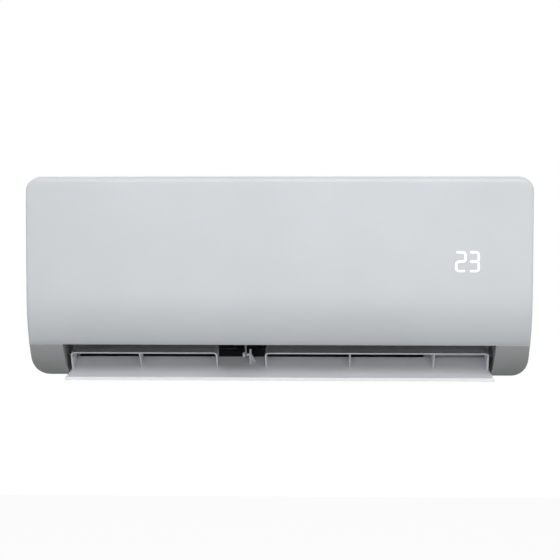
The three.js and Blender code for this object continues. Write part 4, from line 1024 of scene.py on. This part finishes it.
# The fin that carries the middle of the flap, with a slanted gusset beside its foot.
# Each is given by its side view, kept only within its front view.
def makeFin():
    fin, right = flap["fin"], flap["fin"] + flap["finWidth"]
    gusset, reach, head = flap["gusset"], flap["reach"], flap["finHead"]
    axisU, axisZ = flap["axis"]
    ends = (fin - 1, right + gusset)

    def leaf(name, side, front):
        piece = dressed(name, acrossFlap(name, side, ends), "flap_white", "flap")
        corners = [place(x, axisU + way, axisZ + z) for way in (-reach, reach) for x, z in front]
        combine(piece, prism("wedge", corners), "INTERSECT")
        bored(piece, ends)
        rounded(piece, flap["finRounding"], 2, sharpAngle)

    leaf(
        "flapFin",
        [*rootsOnSkin(flap["finRoots"]), *flap["finTop"]],
        [(fin, -reach), (right, -reach), (right, head), (fin + flap["finTaper"], head)],
    )
    leaf(
        "flapGusset",
        [*rootsOnSkin(flap["gussetRoots"]), *flap["gussetTop"]],
        [(right - 1, -reach), (right + 3 * gusset, -reach), (right - 1, flap["gussetHead"])],
    )


makeLowerCover()
makeCheeks()
makeShadeSheets()
# The duct sheets printed here are painted shade on the duct's floor.
print("lower cover and duct lining")
makeFlap()
makeLugs()
makeFin()


def bladeLine():
    front, rear, bow = flap["bladeFront"], flap["bladeRear"], flap["bladeBow"]
    middle = ((front[0] + rear[0]) / 2 + bow, (front[1] + rear[1]) / 2 - bow)
    return bentLine(front, middle, rear, flap["bladeSteps"])


# Where a rib that starts at a share of the flap's skin meets it, below a row of the blade.
def footBelow(row, foot):
    skin = flapSkin(flap["footSteps"], flap["thickness"] + flap["footGap"])
    share = mixed(foot, flap["rearFoot"], row / flap["bladeSteps"])
    return skin[round(share * flap["footSteps"])]


# A guide blade with its end ribs is one sheet, bent round at both corners. Each rib
# stands on the flap from the share of the skin that is its foot to one share behind.
def makeBlade(name, ends, feet, node):
    radius, bends, sides = (flap[key] for key in ("bendRadius", "bendSteps", "sideSteps"))
    bend = []
    for step in range(bends + 1):
        angle = math.pi / 2 * step / bends
        bend.append((radius * (1 - math.cos(angle)), radius * (1 - math.sin(angle))))
    rows = []
    for row, (u, z) in enumerate(bladeLine()):
        line = []
        for edge, inward, foot in ((ends[0], 1, feet[0]), (ends[1], -1, feet[1])):
            low = footBelow(row, foot)
            depth = math.hypot(low[0] - u, low[1] - z)
            down = unitVector(low[0] - u, low[1] - z)
            path = [(0, depth)] + [(0, mixed(depth, radius, t / sides)) for t in range(1, sides)] + bend
            half = [turnedOpen(edge + inward * a, u + down[0] * d, z + down[1] * d) for a, d in path]
            line += half if inward > 0 else half[::-1]
        rows.append(line)
    width = len(rows[0])
    vertices = [vertex for row in rows for vertex in row]
    faces = []
    for row in range(len(rows) - 1):
        for step in range(width - 1):
            a = row * width + step
            faces.append((a, a + 1, a + width + 1, a + width))
    piece = newPiece(name, vertices, faces, "flap_white", "flap", [node])
    thickened(piece, flap["bladeThickness"], False)
    rounded(piece, flap["bladeRounding"], 3, sheetAngle)


# The thin ribs between a blade's ends, each at a share of its length.
def makeRibs(name, ends, shares):
    thick = flap["ribThickness"]
    top = bladeLine()
    foot = [footBelow(row, flap["innerFoot"]) for row in range(len(top))]
    for index, share in enumerate(shares):
        x = mixed(ends[0], ends[1] - thick, share)
        label = f"{name}Rib{index + 1}"
        solid = acrossFlap(label, top + foot[::-1], (x, x + thick), True)
        rib = dressed(label, solid, "flap_white", "flap")
        rounded(rib, flap["ribRounding"], 2, sharpAngle)


feet = (flap["outerFoot"], flap["innerFoot"])
makeBlade("guideBladeLeft", flap["bladeLeft"], feet, "inner_blade_left")
makeRibs("guideBladeLeft", flap["bladeLeft"], flap["ribsLeft"])
makeBlade("guideBladeRight", flap["bladeRight"], feet[::-1], "inner_blade_right")
makeRibs("guideBladeRight", flap["bladeRight"], flap["ribsRight"])
print("outlet flap")


# Repeats the shape that a piece holds in rows and columns, with Geometry Nodes.
def repeatingTree():
    tree = bpy.data.node_groups.new("repeatedShape", "GeometryNodeTree")
    face = tree.interface
    face.new_socket("Geometry", in_out="INPUT", socket_type="NodeSocketGeometry")
    for name, kind in (
        ("Count", "NodeSocketInt"),
        ("Step", "NodeSocketVector"),
        ("Rows", "NodeSocketInt"),
        ("Row Step", "NodeSocketVector"),
        ("Material", "NodeSocketMaterial"),
    ):
        face.new_socket(name, in_out="INPUT", socket_type=kind)
    face.new_socket("Geometry", in_out="OUTPUT", socket_type="NodeSocketGeometry")
    recipe = Recipe(tree)
    entry = recipe.add("NodeGroupInput")
    shape = entry.beside("Geometry")
    for count, step in (("Count", "Step"), ("Rows", "Row Step")):
        inputs = {"Count": entry.beside(count), "Offset": entry.beside(step)}
        line = recipe.add("GeometryNodeMeshLine", {"mode": "OFFSET"}, inputs)
        shape = recipe.add("GeometryNodeInstanceOnPoints", {}, {"Points": line, "Instance": shape})
    real = recipe.add("GeometryNodeRealizeInstances", {}, {"Geometry": shape})
    inputs = {"Geometry": real, "Material": entry.beside("Material")}
    recipe.add("NodeGroupOutput", {}, {"Geometry": recipe.add("GeometryNodeSetMaterial", {}, inputs)})
    return tree


repeatedShape = repeatingTree()


def repeated(name, mesh, slotName, body, settings, replaced=()):
    piece = added(name, mesh)
    copies = piece.modifiers.new("copies", "NODES")
    copies.node_group = repeatedShape
    values = {"Rows": 1, "Row Step": (0, 0, 0), "Material": finishes[slotName], **settings}
    for item in repeatedShape.interface.items_tree:
        if item.in_out == "INPUT" and item.name in values:
            copies[item.identifier] = values[item.name]
    settle(piece)
    claimed(piece, body, replaced)


grille = {
    "half": 320.5,
    "rows": (24, 92),
    "first": 6,
    "pitch": 6,
    "count": 9,
    "foot": 136.2,
    "head": 142.2,
    "thickness": 1.3,
    "footShare": 0.6,
    "headSteps": 8,
}


# Fine slats under the bars of the top grille, each a little thinner at its foot.
def makeGrille():
    near, far = grille["rows"]
    u, half = near + grille["first"], grille["thickness"] / 2
    thin = half * grille["footShare"]
    head = arcPoints((u, grille["head"] - half), half, 0, 180, grille["headSteps"])
    outline = [(u - thin, grille["foot"]), (u + thin, grille["foot"]), *head]
    mesh = extruded("slat", outline, (-grille["half"], grille["half"]))
    smoothed(mesh, sheetAngle)
    settings = {
        "Count": grille["count"], "Step": place(0, grille["pitch"], 0),
        "Rows": 2, "Row Step": place(0, far - near, 0),
    }
    repeated("topSlats", mesh, "body_white", "housing", settings)


coil = {
    "ends": (-294, 203),
    "pitch": 1.75,
    "thickness": 0.16,
    "depth": 20,
    "wave": 0.7,
    "waves": 18,
    "slabs": {
        "front": ((134.5, -48), (-4, 78), 78),
        "upper": ((128, 37), (-44, 64), 78),
        "rear": ((79, 100), (-40, -64), 74),
    },
}


# Each fin pack is a row of thin sheets with scalloped edges.
def makeFins():
    start, end = coil["ends"]
    count = int((end - start) / coil["pitch"])
    for name, (root, heading, length) in coil["slabs"].items():
        a, b = unitVector(*heading)
        inner, outer = [], []
        steps = 2 * coil["waves"]
        for step in range(steps + 1):
            wave, way = coil["wave"] * (step % 2), length * step / steps
            for line, reach in ((inner, wave), (outer, coil["depth"] - wave)):
                line.append((root[0] + a * way + b * reach, root[1] + b * way - a * reach))
        mesh = extruded("fin", inner + outer[::-1], (start, start + coil["thickness"]))
        settings = {"Count": count, "Step": place(coil["pitch"], 0, 0)}
        node = f"fins_{name}"
        repeated(f"fins{name.capitalize()}", mesh, "fin_aluminium", "housing", settings, [node])


net = {
    "front": 163.7,
    "back": 163.1,
    "pitch": 2.1,
    "thread": 0.34,
    "threadSides": 6,
    "threadAngle": 70,
    "border": 8,
    "bar": 4,
    "panes": 3,
    "cut": (160, 167),
    "held": 1,
    "rounding": 0.5,
    "frameAngle": 40,
    "foot": -56,
    "head": 132,
    "sides": {"left": (-299, -48.5), "right": (-43.5, 207)},
}


# The size of one pane along a side of the filter.
def paneSize(low, high):
    return (high - low - 2 * net["border"] - (net["panes"] - 1) * net["bar"]) / net["panes"]


# A filter is its frame with the net's solid panes cut out, and threads both ways that
# the frame holds by their ends.
def makeFilter(side):
    node = f"filter_{side}"
    name = f"filter{side.capitalize()}"
    start, end = net["sides"][side]
    foot, head, border = net["foot"], net["head"], net["border"]
    frameMesh = frame["nodes"][node].data.copy()
    straighten(frameMesh)
    piece = dressed(name + "Frame", frameMesh, nodeSlots[node], nodeBodies[node], [node])
    wide, high = paneSize(start, end), paneSize(foot, head)
    for column in range(net["panes"]):
        for row in range(net["panes"]):
            x = start + border + column * (wide + net["bar"])
            z = foot + border + row * (high + net["bar"])
            square = [(x, z), (x + wide, z), (x + wide, z + high), (x, z + high)]
            pane = prism("pane", [place(a, u, b) for u in net["cut"] for a, b in square])
            combine(piece, pane, "DIFFERENCE")
    rounded(piece, net["rounding"], 2, net["frameAngle"], sharpAngle)
    inset = border - net["held"]
    left, right, low, top = start + inset, end - inset, foot + inset, head - inset
    ring = ringPoints((0, 0), net["thread"] / 2, net["threadSides"])
    for threads, corners, reach, step in (
        (
            name + "Uprights",
            [place(left + a, net["front"] + b, z) for z in (low, top) for a, b in ring],
            right - left,
            place(net["pitch"], 0, 0),
        ),
        (
            name + "Wefts",
            [place(x, net["back"] + a, low + b) for x in (left, right) for a, b in ring],
            top - low,
            place(0, 0, net["pitch"]),
        ),
    ):
        mesh = prism(threads, corners)
        smoothed(mesh, net["threadAngle"])
        settings = {"Count": int(reach / net["pitch"]), "Step": step}
        repeated(threads, mesh, nodeSlots[node], nodeBodies[node], settings)


makeGrille()
makeFins()
for side in net["sides"]:
    makeFilter(side)
print("grille, coil fins and filter nets")

# Screws in the casing's front, whose heads point out of the wall, and their recess.
screws = {
    "at": {"casing_screw_left": (-250, -80), "casing_screw_right": (250, -80)},
    "head": 178.8,
    "wide": 2.3,
    "narrow": 0.45,
    "deep": 1.3,
    "clear": 0.5,
    "footShare": 0.6,
}


def cutRecess(piece, x, z):
    wide, narrow, head = screws["wide"], screws["narrow"], screws["head"]
    cross = [(narrow, narrow), (narrow, wide), (-narrow, wide)]
    for quarter in range(3):
        cross += [(-b, a) for a, b in cross[-3:]]
    levels = ((head + screws["clear"], 1), (head - screws["deep"], screws["footShare"]))
    corners = [place(x + a * share, u, z + b * share) for u, share in levels for a, b in cross]
    combine(piece, prism("recess", corners), "DIFFERENCE")
    smoothed(piece.data, sharpAngle)


# All other nodes are shown by their own solid with its edges rounded.
handMade = {"front_panel", "lower_cover", "main_flap", "inner_blade_left", "inner_blade_right"}
handMade |= {"fins_front", "fins_upper", "fins_rear", "filter_left", "filter_right"}
for node in frame["nodes"]:
    if node not in handMade:
        piece = refined(node)
        if node in screws["at"]:
            cutRecess(piece, *screws["at"][node])
print("refined nodes")

# The camera stands where the photograph was taken from. The lens is in pixels of a
# frame of 560 pixels.
view = {
    "aim": (0.0019, -0.18, -0.0038),
    "distance": 1.915,
    "azimuth": 1.5,
    "roll": -0.12,
    "lens": 1338,
    "frame": 560,
    "sensor": 36,
    "clip": (0.05, 50),
}


def makeCamera():
    camera = added("camera", bpy.data.cameras.new("camera"))
    turn = math.radians(view["azimuth"])
    away = Vector((math.sin(turn), -math.cos(turn), 0))
    camera.location = Vector(view["aim"]) + view["distance"] * away
    camera.rotation_euler = (math.pi / 2, math.radians(view["roll"]), turn)
    camera.data.sensor_width = view["sensor"]
    camera.data.lens = view["lens"] / view["frame"] * view["sensor"]
    camera.data.clip_start, camera.data.clip_end = view["clip"]
    bpy.context.scene.camera = camera


# A broad soft light from the front, and weak ones that reach the back and the sides.
# Places and sizes are in metres here.
studio = {
    "lamps": {
        "keyLamp": {"at": (0.4, -3.2, 2.6), "wide": 3.6, "high": 1.7, "power": 82},
        "frontLamp": {"at": (0.2, -3.8, 0.2), "wide": 3.2, "high": 1.2, "power": 31},
        "highLamp": {"at": (0.2, -1.8, 3.4), "wide": 3.2, "high": 1.7, "power": 12},
        "backLamp": {"at": (-1.4, 2.0, 1.0), "wide": 1.6, "high": 1.6, "power": 16},
        "leftLamp": {"at": (-3.2, -0.9, 0.5), "wide": 1.6, "high": 1.6, "power": 13},
        "rightLamp": {"at": (3.2, -0.9, 0.5), "wide": 1.6, "high": 1.6, "power": 13},
    },
    "worldTop": 0.34,
    "worldFoot": 0.1,
    "floorDepth": 1.8,
    "floorReach": 9,
    "floorPale": 0.9,
    "floorRough": 0.9,
    "floorGlow": 1.6,
    "floorGrey": 0.48,
}


def makeLamp(name, lamp):
    data = bpy.data.lights.new(name, "AREA")
    data.shape = "RECTANGLE"
    data.size = lamp["wide"]
    data.size_y = lamp["high"]
    data.energy = lamp["power"]
    item = added(name, data)
    item.location = lamp["at"]
    item.rotation_euler = (-Vector(lamp["at"])).to_track_quat("-Z", "Y").to_euler()


# White to the camera, and in what it sees mirrored; a dim sky to all else.
def makeWorld():
    world = bpy.data.worlds.new("studio")
    world.use_nodes = True
    bpy.context.scene.world = world
    sky = Recipe(world.node_tree)
    rays = sky.add("ShaderNodeLightPath")
    direct = rays.beside("Is Camera Ray").maths("MAXIMUM", rays.beside("Is Glossy Ray"))
    seen = direct.maths("MAXIMUM", rays.beside("Is Transmission Ray"))
    direction = sky.add("ShaderNodeTexCoord", output="Generated")
    height = sky.add("ShaderNodeSeparateXYZ", {}, {0: direction}, "Z")
    dim = sky.add("ShaderNodeMapRange", {}, {
        "Value": height,
        "From Min": -1,
        "To Min": studio["worldFoot"],
        "To Max": studio["worldTop"],
    })
    level = sky.add("ShaderNodeMix", {}, {0: seen, 2: dim, 3: 1})
    shader = sky.add("ShaderNodeBackground", {}, {"Color": (1, 1, 1, 1), "Strength": level})
    sky.add("ShaderNodeOutputWorld", {}, {"Surface": shader})


# To the camera the floor is nearly the white of the background, with the object's
# shadow on it. Other rays meet a grey one, so that it throws less light upwards.
def floorPaint():
    finish = Finish("floorWhite")
    pale, grey = studio["floorPale"], studio["floorGrey"]
    inputs = {"Base Color": (pale, pale, pale, 1), "Roughness": studio["floorRough"]}
    paint = finish.add("ShaderNodeBsdfPrincipled", {}, inputs)
    glow = finish.add("ShaderNodeEmission", {}, {"Strength": studio["floorGlow"]})
    seen = finish.add("ShaderNodeMixShader", {}, {1: paint, 2: glow})
    dull = finish.add("ShaderNodeBsdfDiffuse", {}, {"Color": (grey, grey, grey, 1)})
    direct = finish.add("ShaderNodeLightPath", output="Is Camera Ray")
    return finish.coat(finish.add("ShaderNodeMixShader", {}, {0: direct, 1: dull, 2: seen}))


def makeFloor():
    reach, low = studio["floorReach"], -studio["floorDepth"]
    corners = [(-reach, -reach, low), (reach, -reach, low), (reach, reach, low), (-reach, reach, low)]
    mesh = bpy.data.meshes.new("floor")
    mesh.from_pydata(corners, [], [(0, 1, 2, 3)])
    mesh.materials.append(floorPaint())
    added("floor", mesh)


makeCamera()
for name, lamp in studio["lamps"].items():
    makeLamp(name, lamp)
makeWorld()
makeFloor()
bpy.context.scene.view_settings.view_transform = "Standard"
print("camera and light")
